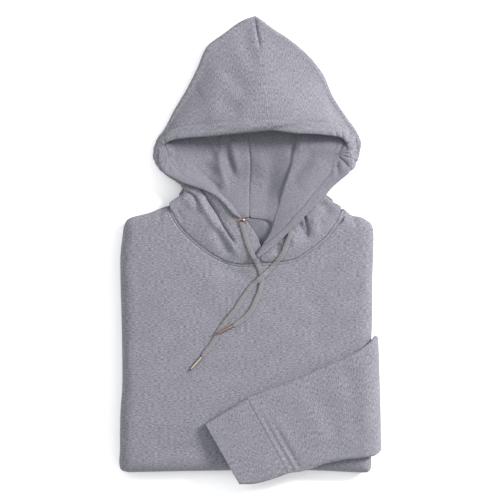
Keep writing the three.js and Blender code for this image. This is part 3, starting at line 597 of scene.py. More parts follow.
def front_panel():
    """The front: rings from the middle outwards, then the strip that turns round the edges."""
    points, inward, under, seam = body_outline((NECKLINE[::-1], "seam"))
    profile = through(FRONT_EDGE, 240)
    length = chord_knots(profile)
    start = np.interp(STRIP_INSET, profile[:120, 0][::-1], length[:120][::-1])
    reach = (SIDE_REACH + (1 - SIDE_REACH) * under) * length[-1]
    strip = []
    for step in np.linspace(0, 1, STRIP_COUNT):
        place_on = start + (reach - start) * step
        inset = np.interp(place_on, length, profile[:, 0])
        down = np.interp(place_on, length, profile[:, 1])
        inset = np.where(seam > 0, STRIP_INSET * (1 - step), inset)
        place = points + inward * inset[:, None]
        x, y = place[:, 0], place[:, 1]
        height = np.where(seam > 0, top_height(x, y), swelled(x, y, down))
        strip.append(np.column_stack([place, height]))
    rings = [strip[0][:, :2]]
    for left in range(RING_COUNT, 1, -1):
        ring = rings[-1]
        for _ in range(RING_SMOOTHING):
            ring = (np.roll(ring, 1, axis=0) + 2 * ring + np.roll(ring, -1, axis=0)) / 4
        rings.append(BODY_CENTRE + (ring - BODY_CENTRE) * (left - 1) / left)
    inner = [np.column_stack([ring, top_height(ring[:, 0], ring[:, 1])]) for ring in rings[:0:-1]]
    grid = np.stack(inner + strip, axis=1)
    x, y = grid[..., 0], grid[..., 1]
    top = smooth((grid[..., 2] - 20) / 10)
    grid[..., 2] += top * (creases(x, y, FRONT_CREASES) + ripple(x, y, 0.32))
    grid[..., 2] -= STITCH_DEPTH * bell(seam_distance(x, y), STITCH_WIDTH) * top
    drop = np.maximum(0, PACK_TOP - grid[..., 2] - 8)
    grain = np.stack([x - inward[:, None, 0] * drop, y - inward[:, None, 1] * drop], axis=-1)
    vertices, faces, grains = sheet_mesh(grid, CLOTH, grain, closed=True)
    return close_middle(vertices, faces, grains, len(points), grid.shape[1])


def seam_distance(x, y):
    """Distance to the second row of stitches, outside the neckline."""
    gap, _, _ = distance_to_path(x, y, through(NECKLINE, 60))
    return np.abs(gap - STITCH_GAP)


def close_middle(vertices, faces, grains, rows, columns):
    """Fills the small rings left at the middle of both faces of the front."""
    shift = rows * columns
    keep = ~np.isin(faces, np.arange(2 * shift, 2 * shift + rows)).any(axis=1)
    faces = [tuple(face) for face in faces[keep]]
    for start, flip in ((0, False), (shift, True)):
        loop = [start + k * columns for k in range(rows)]
        centre = len(vertices)
        vertices = np.vstack([vertices, vertices[loop].mean(axis=0)])
        grains = np.vstack([grains, grains[loop].mean(axis=0)])
        for k in range(rows):
            pair = (loop[k], loop[(k + 1) % rows])
            faces.append((centre, *(pair if flip else pair[::-1])))
    used = np.zeros(len(vertices), bool)
    for face in faces:
        used[list(face)] = True
    order = np.cumsum(used) - 1
    faces = [tuple(order[list(face)]) for face in faces]
    return vertices[used], faces, grains[used]


# the same for the stack: at its sides, and where the front turns fully under it
LAYER_SIDE = [(30, 4.6), (15, 5.2), (8.5, 7.4), (4.6, 11), (2.9, 16), (2.4, 19), (0.9, 20.4), (0.2, 21.8),
              (0.9, 23.2), (2.5, 24), (0.9, 24.8), (0.3, 26.2), (0.9, 27.5), (2.6, 28.3), (1.2, 29),
              (0.7, 30.4), (1.4, 32), (3, 32.7), (5, PACK_TOP)]
LAYER_UNDER = [(30, 4.6), (15, 5.4), (8.4, 7.6), (4.2, 11.6), (3, 16), (3, 18.5), (3.1, 19.8), (3.2, 21),
               (3.3, 22.2), (3.6, 23.4), (3.9, 24.4), (4.2, 25.4), (4.7, 26.4), (5.4, 27.4), (6.6, 28.4),
               (8.4, 29.2), (10.5, 29.8), (11.6, 31.4), (12.4, PACK_TOP)]


def folded_layers():
    """The stack of folded cloth inside the front: rings from its top, down its side, to its base."""
    points, inward, under, _ = body_outline((BACK_NECK, "side"))
    for _ in range(10):
        under = np.maximum(under, (np.roll(under, 1) + np.roll(under, -1)) / 2)
    under = smooth(under * 3)
    around = np.arange(len(points)) / len(points)
    rings = []
    for k, (side, low) in enumerate(zip(LAYER_SIDE, LAYER_UNDER)):
        inset = side[0] * (1 - under) + low[0] * under
        down = side[1] * (1 - under) + low[1] * under
        # wave and sag keep the inner folds uneven
        wave = 0.5 * np.sin(40 * around + 2.0 * k) if 5 < k < 16 else 0
        place = step_in(points, inward, inset + wave * (1 - under))
        swell = (pack_top(place[:, 0], place[:, 1]) - PACK_TOP) * (1 - down / PACK_TOP)
        sag = 0.35 * np.sin(26 * around + 0.9 * k) * (1 - under) if 5 < k < 15 else 0
        height = PACK_TOP - down + swell + sag
        rings.append(np.column_stack([place, height]))
    top = [np.column_stack([rings[0][:, :2] * (1 - t) + BODY_CENTRE * t,
                            np.full(len(points), PACK_TOP - 4.6)]) for t in (0.9, 0.6, 0.3, 0.12)]
    rings = np.stack(top + rings, axis=0)
    x, y = rings[..., 0], rings[..., 1]
    inside = smooth((y - neckline_height(x) + 4) / 5)
    rings[..., 2] = np.minimum(rings[..., 2], rings[..., 2] * (1 - inside)
                               + np.minimum(rings[..., 2], BACK_NECK_LEVEL - 2.2) * inside)
    # room for the part of the sleeve that turns behind the body
    tuck = smooth((x - 126) / 6) * smooth((y + 272) / 5) * smooth((-106 - y) / 5)
    rings[..., 2] = np.maximum(rings[..., 2], tuck * 8.4 * (rings[..., 2] < 9))
    count = rings.shape[1]
    vertices = rings.reshape(-1, 3)
    faces = ring_faces(len(rings), count, flip=True).tolist()
    faces.append(tuple(range(count)))
    faces.append(tuple(range((len(rings) - 1) * count, len(rings) * count))[::-1])
    grain = np.stack([vertices[:, 0] + vertices[:, 1] * 0.2, vertices[:, 1] + vertices[:, 2]], axis=-1)
    return vertices, faces, grain


def neckline_height(x):
    line = through(NECKLINE, 120)
    return np.interp(x, line[:, 0], line[:, 1], left=200, right=200)


# ---- hood

# hem (x, y, z), side (x, y), turn in degrees, end (x, y)
LEFT_CROWN = [
    ((27.3, 156.5, 36), (6.6, 306), 90, (6.3, 297)),
    ((6, 154.4, 36), (-8.6, 300.8), 90, (6.2, 285)),
    ((-18, 152.2, 35), (-33, 283.4), 90, (5, 262)),
    ((-42, 149.8, 33), (-56, 265.6), 90, (3, 238)),
    ((-64, 148.2, 30), (-69.5, 236), 90, (1, 214)),
    ((-84, 146.8, 27), (-84.5, 207), 90, (-1, 192)),
    ((-100, 144.6, 23.5), (-99.5, 182), 90, (-3, 172)),
    ((-110, 141, 20.5), (-112, 158), 90, (-4, 156)),
    ((-115.5, 136.5, 18.5), (-121.5, 145), 80, (-4.3, 144)),
    ((-118.5, 130, 17.5), (-126, 132), 60, (-4, 132)),
    ((-120.5, 121.5, 17.5), (-125.8, 121), 30, (-3, 120)),
    ((-118.5, 111.5, 18.5), (-120.8, 110), 0, (-2, 108)),
    ((-108, 100.5, 20), (-109.5, 98.4), 0, (-1.5, 95)),
    ((-97.5, 93, 22), (-98.6, 91.2), 0, (-1.3, 80)),
    ((-89.5, 87.6, 23), (-89.8, 84.6), 0, (-1.8, 62)),
    ((-86, 85, 23), (-87, 77), 0, (-2.2, 44)),
    ((-87, 80, 22), (-88.6, 74), 0, (-46, 45.4)),
    ((-89, 76, 21), (-92, 71), 0, (-80, 51)),
]
RIGHT_CROWN = [
    ((27.3, 156.5, 36), (6.6, 306), 90, (6.3, 297)),
    ((34, 155.8, 36), (15.6, 299.8), 90, (6.3, 289.6)),
    ((46, 154.2, 36), (28.6, 289.6), 90, (6.2, 279)),
    ((62, 152.2, 35), (49.4, 275), 90, (5, 256)),
    ((80, 151.8, 33), (74, 255), 90, (2.6, 232)),
    ((96, 150.8, 30), (95, 229), 90, (0, 206)),
    ((109, 149.2, 27), (108, 200), 90, (-2.2, 182)),
    ((118, 147.4, 24), (126.5, 172), 90, (-3.6, 163)),
    ((123.5, 143.6, 21.5), (138.5, 155), 85, (-4.3, 148)),
    ((127, 137, 19.5), (144.3, 141), 75, (-4, 137)),
    ((128, 129, 18.5), (143, 129.5), 65, (-3.6, 127)),
    ((130, 120.5, 18), (140.3, 118.4), 45, (-3, 117)),
    ((131.6, 109.6, 18.5), (134.5, 108), 0, (-2, 106)),
    ((120.6, 97.4, 20), (122.4, 96), 0, (-1.5, 94)),
    ((108, 86.6, 21.5), (109.4, 85), 0, (-1.3, 80)),
    ((99, 77.4, 22.5), (100, 75.6), 0, (-1.8, 62)),
    ((95, 73.4, 22.5), (97, 70), 0, (-2.2, 44)),
    ((99, 70.6, 22), (101, 67.6), 0, (46, 45.4)),
    ((104, 66.6, 22), (106.4, 64), 0, (92, 51)),
]
# between which shares of the neckline the rows with no seam end
LEFT_COLLAR_SPAN = (0.03, 0.555)
RIGHT_COLLAR_SPAN = (0.97, 0.55)
# hem, mid, seam; a row with no seam ends on the neckline
LEFT_COLLAR = [
    ((-87.6, 83.6, 14), (-87.4, 75.5, 14), (-102.6, 62, 21)),
    ((-88.6, 86.6, 21), (-86.6, 75.5, 22), (-105, 60.6, 27.6)),
    ((-79, 83.6, 25), (-84, 70, 29.5), (-104.4, 55.8, 31.8)),
    ((-67, 79.6, 29), (-74, 61, 33), None),
    ((-55, 75, 32), (-65, 51, 35), None),
    ((-44, 68.6, 33.5), (-55, 40, 36.4), None),
    ((-33, 58.6, 35), (-44, 29, 37.4), None),
    ((-22, 45.6, 36), (-34, 16.5, 38), None),
    ((-13.5, 42, 36.6), (-23, 9, 38), None),
    ((-4.8, 35.6, 37), (-13, 6, 37.8), None),
    ((3, 25, 37.4), (-4, 0.5, 37.4), None),
    ((9, 14.6, 36.8), (3, -4, 36.4), None),
    ((13.4, 3.6, 36), (8, -7.5, 35.4), None),
    ((18, -2.6, 34.6), (13.8, -10.4, 34.5), None),
]
RIGHT_COLLAR = [
    ((97.6, 72.6, 15), (105, 62.4, 15), (115.6, 55, 22)),
    ((95.6, 73.4, 20), (105.6, 63.6, 23), (117.2, 56.4, 27)),
    ((83, 63, 26.4), (98, 53, 30.6), (116.4, 50.6, 31.8)),
    ((74, 55.5, 29.4), (90, 42, 33.4), None),
    ((63.5, 45, 31.4), (80, 29.5, 35.2), None),
    ((53, 34.5, 32.6), (69, 17, 36), None),
    ((44, 26, 33.4), (57, 6.5, 36.4), None),
    ((33, 15, 34.4), (44.5, -2.5, 36.6), None),
    ((24, 6, 35.2), (32.4, -7.4, 36.4), None),
    ((17.6, -2.4, 35.6), (21.4, -10, 35.8), None),
    ((13.4, -8.4, 35.4), (14.2, -12.8, 35.2), None),
]
# hem, crest, end; an end with a height stops in the air under the turned-back edge
LEFT_MOUTH = [
    ((-119.2, 124, 18.2), (-108, 154, 8.6), (-3, 174)),
    ((-119.2, 117, 19.4), (-99, 134, 11), (-2.6, 155)),
    ((-118, 111.4, 20.2), (-100, 122, 13), (-2, 138)),
    ((-110.4, 100, 23.2), (-94, 105, 17.5), (-1.5, 112)),
    ((-99, 93.4, 25.4), (-85, 96, 22.4), (-1.3, 92)),
    ((-89.4, 88.6, 27.4), (-76, 90, 26), (-1.8, 72)),
    ((-78.4, 84.6, 29.6), (-64, 86, 28.4), (-2, 53)),
    ((-66.6, 80.6, 32), (-53, 81.4, 30.6), (-2.2, 42.6)),
    ((-55, 76, 34.6), (-43.6, 75.4, 32.6), (-4, 42.4)),
    ((-44, 69.6, 36), (-34.4, 68, 34), (-5.4, 42.2)),
    ((-33, 59.6, 37.6), (-26.6, 58, 35.4), (-6.8, 42)),
    ((-22, 46.8, 38.6), (-18.4, 47.2, 37), (-8.4, 41.8)),
    ((-14.5, 42.4, 38.4), (-13, 42.6, 37.4), (-9, 39)),
]
RIGHT_MOUTH = [
    ((128.2, 125, 18.4), (104, 160, 8.4), (-3, 176)),
    ((129.4, 117, 20), (66, 152, 9.8), (-2.8, 158)),
    ((129.8, 109.6, 21), (59, 131, 12.5), (-2.4, 142)),
    ((120.8, 97.8, 22.8), (55.6, 111, 17), (-2, 114)),
    ((108.6, 86.6, 24.8), (49.4, 94, 21), (-1.5, 94)),
    ((96.8, 73, 27.4), (43, 75, 26), (-1.3, 72)),
    ((83, 57.6, 34.4), (37.6, 53.6, 31), (-2.2, 51)),
    ((72, 46.4, 37.2), (33.4, 42, 33.4), (2, 42)),
    ((61.6, 34.6, 38.6), (29.4, 29.4, 35.4), (26, 41.2)),
    ((50, 24.6, 38.6), (24.6, 18.6, 36.6), (29, 26, 30)),
    ((36.4, 11.6, 39.2), (18.6, 9.4, 37.8), (25, 14, 33.6)),
    ((22.4, -0.4, 39.4), (13.2, 1, 38.8), (18, 4, 35.6)),
    ((9.4, -9.4, 39.4), (8, -7.4, 39.2), (12, -3.6, 38.2)),
]
FLAP_COUNT, TURN_COUNT, BACK_COUNT = 48, 12, 26
PATH_COUNT = FLAP_COUNT + TURN_COUNT + BACK_COUNT
CREST_COUNT = 36
MOUTH_TOP = 158        # the lining's own hem shows below this
MOUTH_FLOOR = 1.4      # layers between the back layer and the lining at the bottom of the mouth
MOUTH_RISE = 3.2
ROW_STEP = 1.9         # distance between the fine rows of a hood panel
PUCKER_REACH = 36
# for the right and left corners of the opening: centre, number of gathers, size
CROWN_PUCKERS = {1: ((122, 128), 8, 3.0), -1: ((-110, 128), 6, 1.4)}
LINING_PUCKERS = {1: ((112, 126), 7, 3.6), -1: ((-108, 126), 7, 1.6)}
BRINK = {1: 0.36, -1: 0.0}    # share of the mouth's fall that happens at once behind its crest
LINING_CLEAR = 1.2     # layers that always stay between the back layer and the lining
CLEAR_SOFTNESS = 0.8


def crown_path(row):
    """Path of the cloth at one station: over the flap, round the outline, along the back."""
    hem, side, turn, end = np.array(row[0], float), row[1], row[2], row[3]
    reach = math.hypot(side[0] - end[0], side[1] - end[1])
    out = np.array([(side[0] - end[0]) / reach, (side[1] - end[1]) / reach])
    centre = FOLD_RADIUS + float(back_layer_height(side[1]))

    def on_turn(angles):
        radians = np.radians(angles)
        away = FOLD_RADIUS * (np.cos(radians) - 1)
        return np.column_stack([side[0] + out[0] * away, side[1] + out[1] * away,
                                centre + FOLD_RADIUS * np.sin(radians)])

    start = on_turn(np.array([turn]))[0]
    flat = math.sin(math.radians(turn))
    t = np.linspace(0, 1, FLAP_COUNT) ** 1.15
    flap = hem[None, :] * (1 - t[:, None]) + start[None, :] * t[:, None]
    flap[:, 2] = hem[2] + (start[2] - hem[2]) * (t * (1 - flat) + smooth(t) * flat)
    angles = turn + (-90 - turn) * np.arange(1, TURN_COUNT + 1) / TURN_COUNT
    bend = on_turn(angles)
    t = np.arange(1, BACK_COUNT + 1) / BACK_COUNT
    y = bend[-1, 1] * (1 - t) + end[1] * t
    back = np.column_stack([bend[-1, 0] * (1 - t) + end[0] * t, y, back_layer_height(y)])
    return np.vstack([flap, bend, back])


def mouth_path(row, brink):
    """Lining at one station of the mouth: over the crest, then down to the back layer."""
    hem, crest, end = (np.array(p, float) for p in row)
    t = np.linspace(0, 1, CREST_COUNT)
    edge = hem[None, :] * (1 - t[:, None]) + crest[None, :] * t[:, None]
    edge[:, 2] += 1.2 * np.sin(np.pi * t)
    t = np.arange(1, PATH_COUNT - CREST_COUNT + 1) / (PATH_COUNT - CREST_COUNT)
    x = crest[0] * (1 - t) + end[0] * t
    y = crest[1] * (1 - t) + end[1] * t
    if len(end) > 2:
        floor = end[2]
    else:
        floor = back_layer_height(y) + MOUTH_FLOOR * LAYER + MOUTH_RISE * smooth((y - 62) / 50)
    low = np.minimum(crest[2] - 1, floor)
    z = crest[2] + (low - crest[2]) * (brink * smooth(t * 13) + (1 - brink) * smooth(t * (2.2 - brink)))
    return np.vstack([edge, np.column_stack([x, y, z])])


def spread(stations):
    """Fine rows between stations, through every station."""
    stations = np.stack(stations)
    size = np.linalg.norm(np.diff(stations, axis=0), axis=2)
    knots = np.concatenate([[0], np.cumsum(np.maximum(size.mean(axis=1), 1.0))])
    samples = np.linspace(0, knots[-1], int(knots[-1] / ROW_STEP) + 2)
    return spline(knots, stations, samples)


def grain_of(grid):
    """Distance from the first column, and distance along the panel's edge."""
    steps = np.linalg.norm(np.diff(grid, axis=1), axis=2)
    away = np.concatenate([np.zeros((grid.shape[0], 1)), np.cumsum(steps, axis=1)], axis=1)
    along = np.concatenate([[0], np.cumsum(np.linalg.norm(np.diff(grid, axis=0), axis=2).mean(axis=1))])
    return np.stack([away, np.broadcast_to(along[:, None], away.shape)], axis=-1)


def hem_channel(grid, normal):
    """Swells the doubled hem along the first column and sinks its row of stitches."""
    away = grain_of(grid)[..., 0]
    swell = 0.7 * smooth((HEM_DEPTH - away) / 3.5)
    groove = -0.9 * bell(away - HEM_DEPTH, 1.5)
    roll = -1.4 * bell(away, 2.2)
    return raised(grid, normal, swell + groove + roll)


CROWN_CREASES = [
    Crease([(7, 300), (12.5, 263), (17, 230), (22, 195), (27.3, 157)], 58, 5.0, (0.25, 0.03)),
    Crease([(5.4, 304), (8.6, 286), (12, 266), (13, 258)], 1.7, -3.0, (0.03, 0.25)),
    Crease([(-6, 296), (-6, 270), (2, 246), (8, 228)], 9, -2.0, (0.2, 0.4)),
    Crease([(-34, 236), (-12, 212), (0, 190)], 11, -2.2, (0.4, 0.4)),
    Crease([(-46, 196), (-26, 186), (-8, 176)], 10, -2.0, (0.4, 0.4)),
    Crease([(-70, 208), (-50, 216), (-30, 230)], 14, 1.5),
    Crease([(-60, 172), (-30, 166), (4, 170)], 9, 1.2),
    Crease([(34, 272), (58, 240), (84, 196)], 18, 1.0),
    Crease([(60, 200), (84, 180), (104, 166)], 11, -0.9),
]
LINING_CREASES = [
    Crease([(-41, 156), (-42, 138), (-40.5, 122)], 2.2, -5.5, (0.02, 0.7)),
    Crease([(72, 158), (67, 143), (62, 122)], 5, 1.6, (0.02, 0.4)),
    Crease([(59, 156), (55, 138), (51, 118)], 4, -2.2, (0.02, 0.4)),
    Crease([(-41, 140), (-39.5, 114), (-35, 95), (-28, 72)], 4.2, 2.6, (0.3, 0.3), lean=-0.4),
    Crease([(-33, 146), (-31, 128), (-26, 110), (-19, 88)], 4.6, -4.0, (0.1, 0.35)),
    Crease([(-52, 150), (-50, 132), (-46, 112)], 7, -3.0, (0.05, 0.4)),
    Crease([(-24, 146), (-20, 120), (-13, 96)], 5, 1.6, (0.1, 0.4)),
    Crease([(-78, 112), (-66, 103), (-52, 90), (-38, 76)], 2.4, -3.4, (0.4, 0.15), lean=0.5),
    Crease([(-64, 118), (-56, 106), (-46, 94)], 9, -2.6, (0.3, 0.3)),
    Crease([(-76, 104), (-60, 92), (-44, 76)], 6.5, 2.2, (0.4, 0.3)),
    Crease([(-4.3, 156), (-1.3, 131), (0.3, 110), (-1.3, 80), (-2.2, 40)], 1.3, -1.8, (0.01, 0.01)),
    Crease([(-1, 85.4), (6, 85), (15, 83.3)], 1.3, -2.4),
    Crease([(6, 126), (14, 110), (16, 92)], 8, 1.3),
    Crease([(96, 118), (80, 96), (64, 78)], 11, 1.6),
    Crease([(84, 132), (66, 106), (54, 86)], 7, -1.4),
]
COLLAR_CREASES = [
    Crease([(-64, 80), (-55, 63), (-46, 49), (-36, 31), (-27, 17), (-18.5, 4)],
           1.9, -4.2, (0.02, 0.16), lean=0.4),
    Crease([(-70, 72), (-58, 52), (-48, 36), (-38, 22)], 4.5, 2.6, (0.1, 0.3)),
    Crease([(-50, 34), (-42, 18), (-32, 2), (-24, -9)], 6.5, -4.2, (0.35, 0.35)),
    Crease([(-28, 12), (-20, -1), (-14, -10)], 4, 1.6, (0.3, 0.4)),
    Crease([(-58, 68), (-46, 54), (-34, 38), (-24, 20)], 5, -2.4, (0.05, 0.5)),
    Crease([(-86, 77), (-76, 72.5), (-69, 64), (-66, 54)], 1.8, -3.8, (0.1, 0.45), lean=-0.3),
    Crease([(-90, 68), (-80, 63), (-75, 52)], 5, 2.0),
    Crease([(-64, 66), (-62, 56), (-60, 46)], 4.5, 1.6),
    Crease([(-98, 56), (-92, 46), (-86, 36)], 3, -0.8),
    Crease([(69, 48), (73, 36), (75.5, 24), (75, 12)], 1.9, -3.2, (0.02, 0.4), lean=-0.4),
    Crease([(63, 36), (69, 24), (74, 10)], 5.5, -3.6, (0.02, 0.4)),
    Crease([(82, 44), (84, 28), (82, 14)], 5, 2.0, (0.1, 0.4)),
    Crease([(54, 24), (56, 12), (62, 4)], 5, 1.6, (0.1, 0.4)),
    Crease([(92, 62), (99, 54), (106, 44)], 6.5, -3.6, (0.02, 0.5)),
    Crease([(38, 8), (34, 0), (33, -8)], 5, -2.2, (0.02, 0.4)),
]


def puckers(grid, centre, count, depth, channel):
    """Small gathers across the hem channel round a corner of the opening."""
    away = grain_of(grid)[..., 0]
    angle = np.arctan2(grid[..., 1] - centre[1], grid[..., 0] - centre[0])
    gap = np.hypot(grid[..., 0] - centre[0], grid[..., 1] - centre[1])
    window = smooth((PUCKER_REACH - gap) / (0.4 * PUCKER_REACH)) * smooth((channel - away) / 5)
    phase = count * angle + 0.9 * np.sin(3 * angle)
    return depth * window * (np.abs(np.sin(phase)) ** 0.5 - 0.62)


def crown_grid(rows):
    return spread([crown_path(row) for row in rows])


def shape_crown(grid, side):
    normal = grid_normals(grid) * side
    up = np.clip(normal[..., 2], 0, 1)
    x, y = grid[..., 0], grid[..., 1]
    bend = creases(x, y, CROWN_CREASES) + ripple(x, y, 0.45, 2.0)
    grid = raised(grid, normal, bend * up)
    grid = hem_channel(grid, normal)
    return raised(grid, normal, puckers(grid, *CROWN_PUCKERS[side], 20.0))


def collar_grid(rows, span):
    """The turned-back collar, from its hem down to the neckline."""
    first, last = span
    line = through(NECKLINE, 400)
    free = [k for k, row in enumerate(rows) if row[2] is None]
    paths = []
    for k, (hem, mid, seam) in enumerate(rows):
        if seam is None:
            t = first + (last - first) * (k - free[0]) / (len(free) - 1)
            place = int(round(t * 399))
            tangent = unit(line[min(399, place + 3)] - line[max(0, place - 3)])
            x, y = line[place] + np.array([-tangent[1], tangent[0]]) * 0.9
            seam = (x, y, float(pack_top(x, y)))
        paths.append(through([hem, mid, seam], 46))
    return spread(paths)


def shape_collar(grid):
    normal = grid_normals(grid)
    normal *= np.sign(normal[..., 2].mean())
    x, y = grid[..., 0], grid[..., 1]
    up = np.clip(normal[..., 2], 0, 1)
    from_seam = grain_of(grid[:, ::-1])[:, ::-1, 0]
    fade = smooth(from_seam / 7)
    grid = raised(grid, normal, up * fade * (creases(x, y, COLLAR_CREASES) + ripple(x, y, 0.35, 4.0)))
    return raised(grid, normal, -0.2 * bell(from_seam, 1.6))


def lining_grid(crown, mouth, side):
    """The lining one layer inside the flap, then the mouth's own rows."""
    covered = sum(1 for row in crown if row[0][1] > mouth[0][0][1] + 5)
    outer = np.stack([crown_path(row) for row in crown])
    normal = grid_normals(outer)
    normal[0, :, 0] = 0
    normal[0] = unit(normal[0])
    inside = outer - side * normal * LAYER
    rows = list(inside[:covered]) + [mouth_path(row, BRINK[side]) for row in mouth]
    return spread(rows)


def shape_lining(grid, side):
    """Adds the hem, pleats and creases, and keeps the lining clear of the hood's back layer."""
    normal = grid_normals(grid) * side
    facing = -normal
    up = np.clip(facing[..., 2], 0, 1)
    x, y = grid[..., 0], grid[..., 1]
    grid = raised(grid, facing, up * (creases(x, y, LINING_CREASES) + ripple(x, y, 0.4, 1.0)))
    away = grain_of(grid)[..., 0]
    channel = up * smooth((MOUTH_TOP - y) / 6)
    groove = -1.0 * bell(away - HEM_DEPTH, 1.4) - 0.35 * bell(away - HEM_DEPTH + 3.2, 1.2)
    grid = raised(grid, facing, channel * (0.8 * smooth((HEM_DEPTH - away) / 3.5) + groove))
    grid = raised(grid, facing, up * puckers(grid, *LINING_PUCKERS[side], 24.0))
    floor = back_layer_height(y) + LINING_CLEAR * LAYER
    spare = (grid[..., 2] - floor) / CLEAR_SOFTNESS
    grid[..., 2] = np.where(up > 0.2, floor + CLEAR_SOFTNESS * np.logaddexp(0, spare), grid[..., 2])
    return grid


def hem_thickness(grid, thick):
    """Thick at the doubled hem, plain cloth away from it."""
    away = grain_of(grid)[..., 0]
    return CLOTH + (thick - CLOTH) * smooth((8 - away) / 6)


def tucked_seam(grid, side):
    """One more row past the centre seam, a little lower, so that the two halves meet without a gap."""
    normal = grid_normals(grid)[0] * side
    ahead = unit(grid[0] - grid[1])
    column = np.arange(grid.shape[1])
    reach = smooth((FLAP_COUNT - 8 - column) / 10) * 2.4
    extra = grid[0] + ahead * reach[:, None] - normal * (0.55 * reach)[:, None]
    return np.concatenate([extra[None], grid])


def build_hood(name, crown, collar, side, span):
    flap = tucked_seam(shape_crown(crown_grid(crown), side), side)
    front = shape_collar(collar_grid(collar, span))
    parts = [sheet_mesh(flap, hem_thickness(flap, 3.0), grain_of(flap)),
             sheet_mesh(front, CLOTH, grain_of(front)[..., ::-1])]
    return make_object(name, parts, FLEECE)


def build_lining(name, crown, mouth, side):
    grid = shape_lining(lining_grid(crown, mouth, side), side)
    return make_object(name, [sheet_mesh(grid, hem_thickness(grid, 2.6), grain_of(grid))], LINING)


NECK_PANEL_X = (-28, 42)
NECK_PANEL_Y = (40.8, -7)


def build_back_neck():
    """The bare panel inside the neck, raised at its top edge and at its right."""
    x, y = np.meshgrid(np.linspace(*NECK_PANEL_X, 60), np.linspace(*NECK_PANEL_Y, 44), indexing="ij")
    z = BACK_NECK_LEVEL + 1.2 * smooth((y - 30) / 12) + 2.4 * smooth((x - 8) / 16) * smooth((37 - y) / 8)
    z = z + ripple(x, y, 0.2)
    grid = np.stack([x, y, z], axis=-1)
    return make_object("back_neck_cloth", [sheet_mesh(grid, CLOTH, np.stack([x, y], axis=-1))], LINING)


# ---- sleeve

# upper edge (x, y), lower edge (x, y), height of the middle
SLEEVE = [
    ((-5.6, -192.6), (48.2, -290.2), 38.4), ((22, -182.2), (72, -286.4), 38.4),
    ((55, -170), (97, -277.6), 38.4), ((88, -155.4), (122, -272.6), 38.2),
    ((118, -142.2), (141, -270.6), 38.2), ((141, -130), (153, -269), 37.6),
    ((156, -119.6), (161.4, -267.6), 33.8), ((162, -113.8), (166.6, -264), 25.6),
    ((163.4, -112.6), (167.2, -262), 14.6), ((159.6, -119), (163, -261), 6.2),
    ((149.6, -119.4), (151, -260.6), 3.6), ((136, -120), (137, -260), 3.6),
]
CUFF = [
    ((-4.75, -193.1), (48.8, -290.4), 38.7), ((-23, -203.8), (29, -297.6), 39),
    ((-41.6, -215.4), (6, -303.6), 39), ((-58.8, -226.2), (-14.2, -304.4), 39),
]
SLEEVE_CREASES = [
    Crease([(5, -197), (22, -227), (40, -259), (56, -286)], 1.5, -1.0, (0.4, 0.03)),
    Crease([(9, -197), (26, -227), (43, -257), (60, -286)], 1.8, 0.7, (0.4, 0.03)),
    Crease([(26, -216), (42, -246), (64, -284)], 2.0, -1.2, (0.5, 0.03)),
    Crease([(22, -200), (46, -240), (72, -280)], 5, 0.8, (0.4, 0.3)),
    Crease([(50, -287), (75, -282.6), (100, -274.8), (125, -269.8)], 1.0, -1.0, (0.02, 0.5)),
    Crease([(70, -178), (98, -204), (112, -250)], 12, -1.0),
    Crease([(120, -150), (134, -190), (132, -240)], 10, -1.0),
    Crease([(52, -190), (80, -215), (92, -260)], 12, 0.8),
    Crease([(146, -130), (150, -180), (152, -250)], 6, 0.7),
]
CUFF_CREASES = [
    Crease([(-56, -226.6), (-34, -264), (-11.6, -303)], 1.0, -1.3, (0.02, 0.02)),
    Crease([(-12, -301.6), (8, -300), (30, -293.6), (47, -287.6)], 0.9, -1.2, (0.02, 0.02)),
    Crease([(-30, -216), (-8, -250), (8, -290)], 10, -0.6),
]


TUBE_WALL = 1.6
SLEEVE_STEP, CUFF_STEP = 2.2, 1.0
TURN_STEPS, FLAT_STEPS = 15, 62


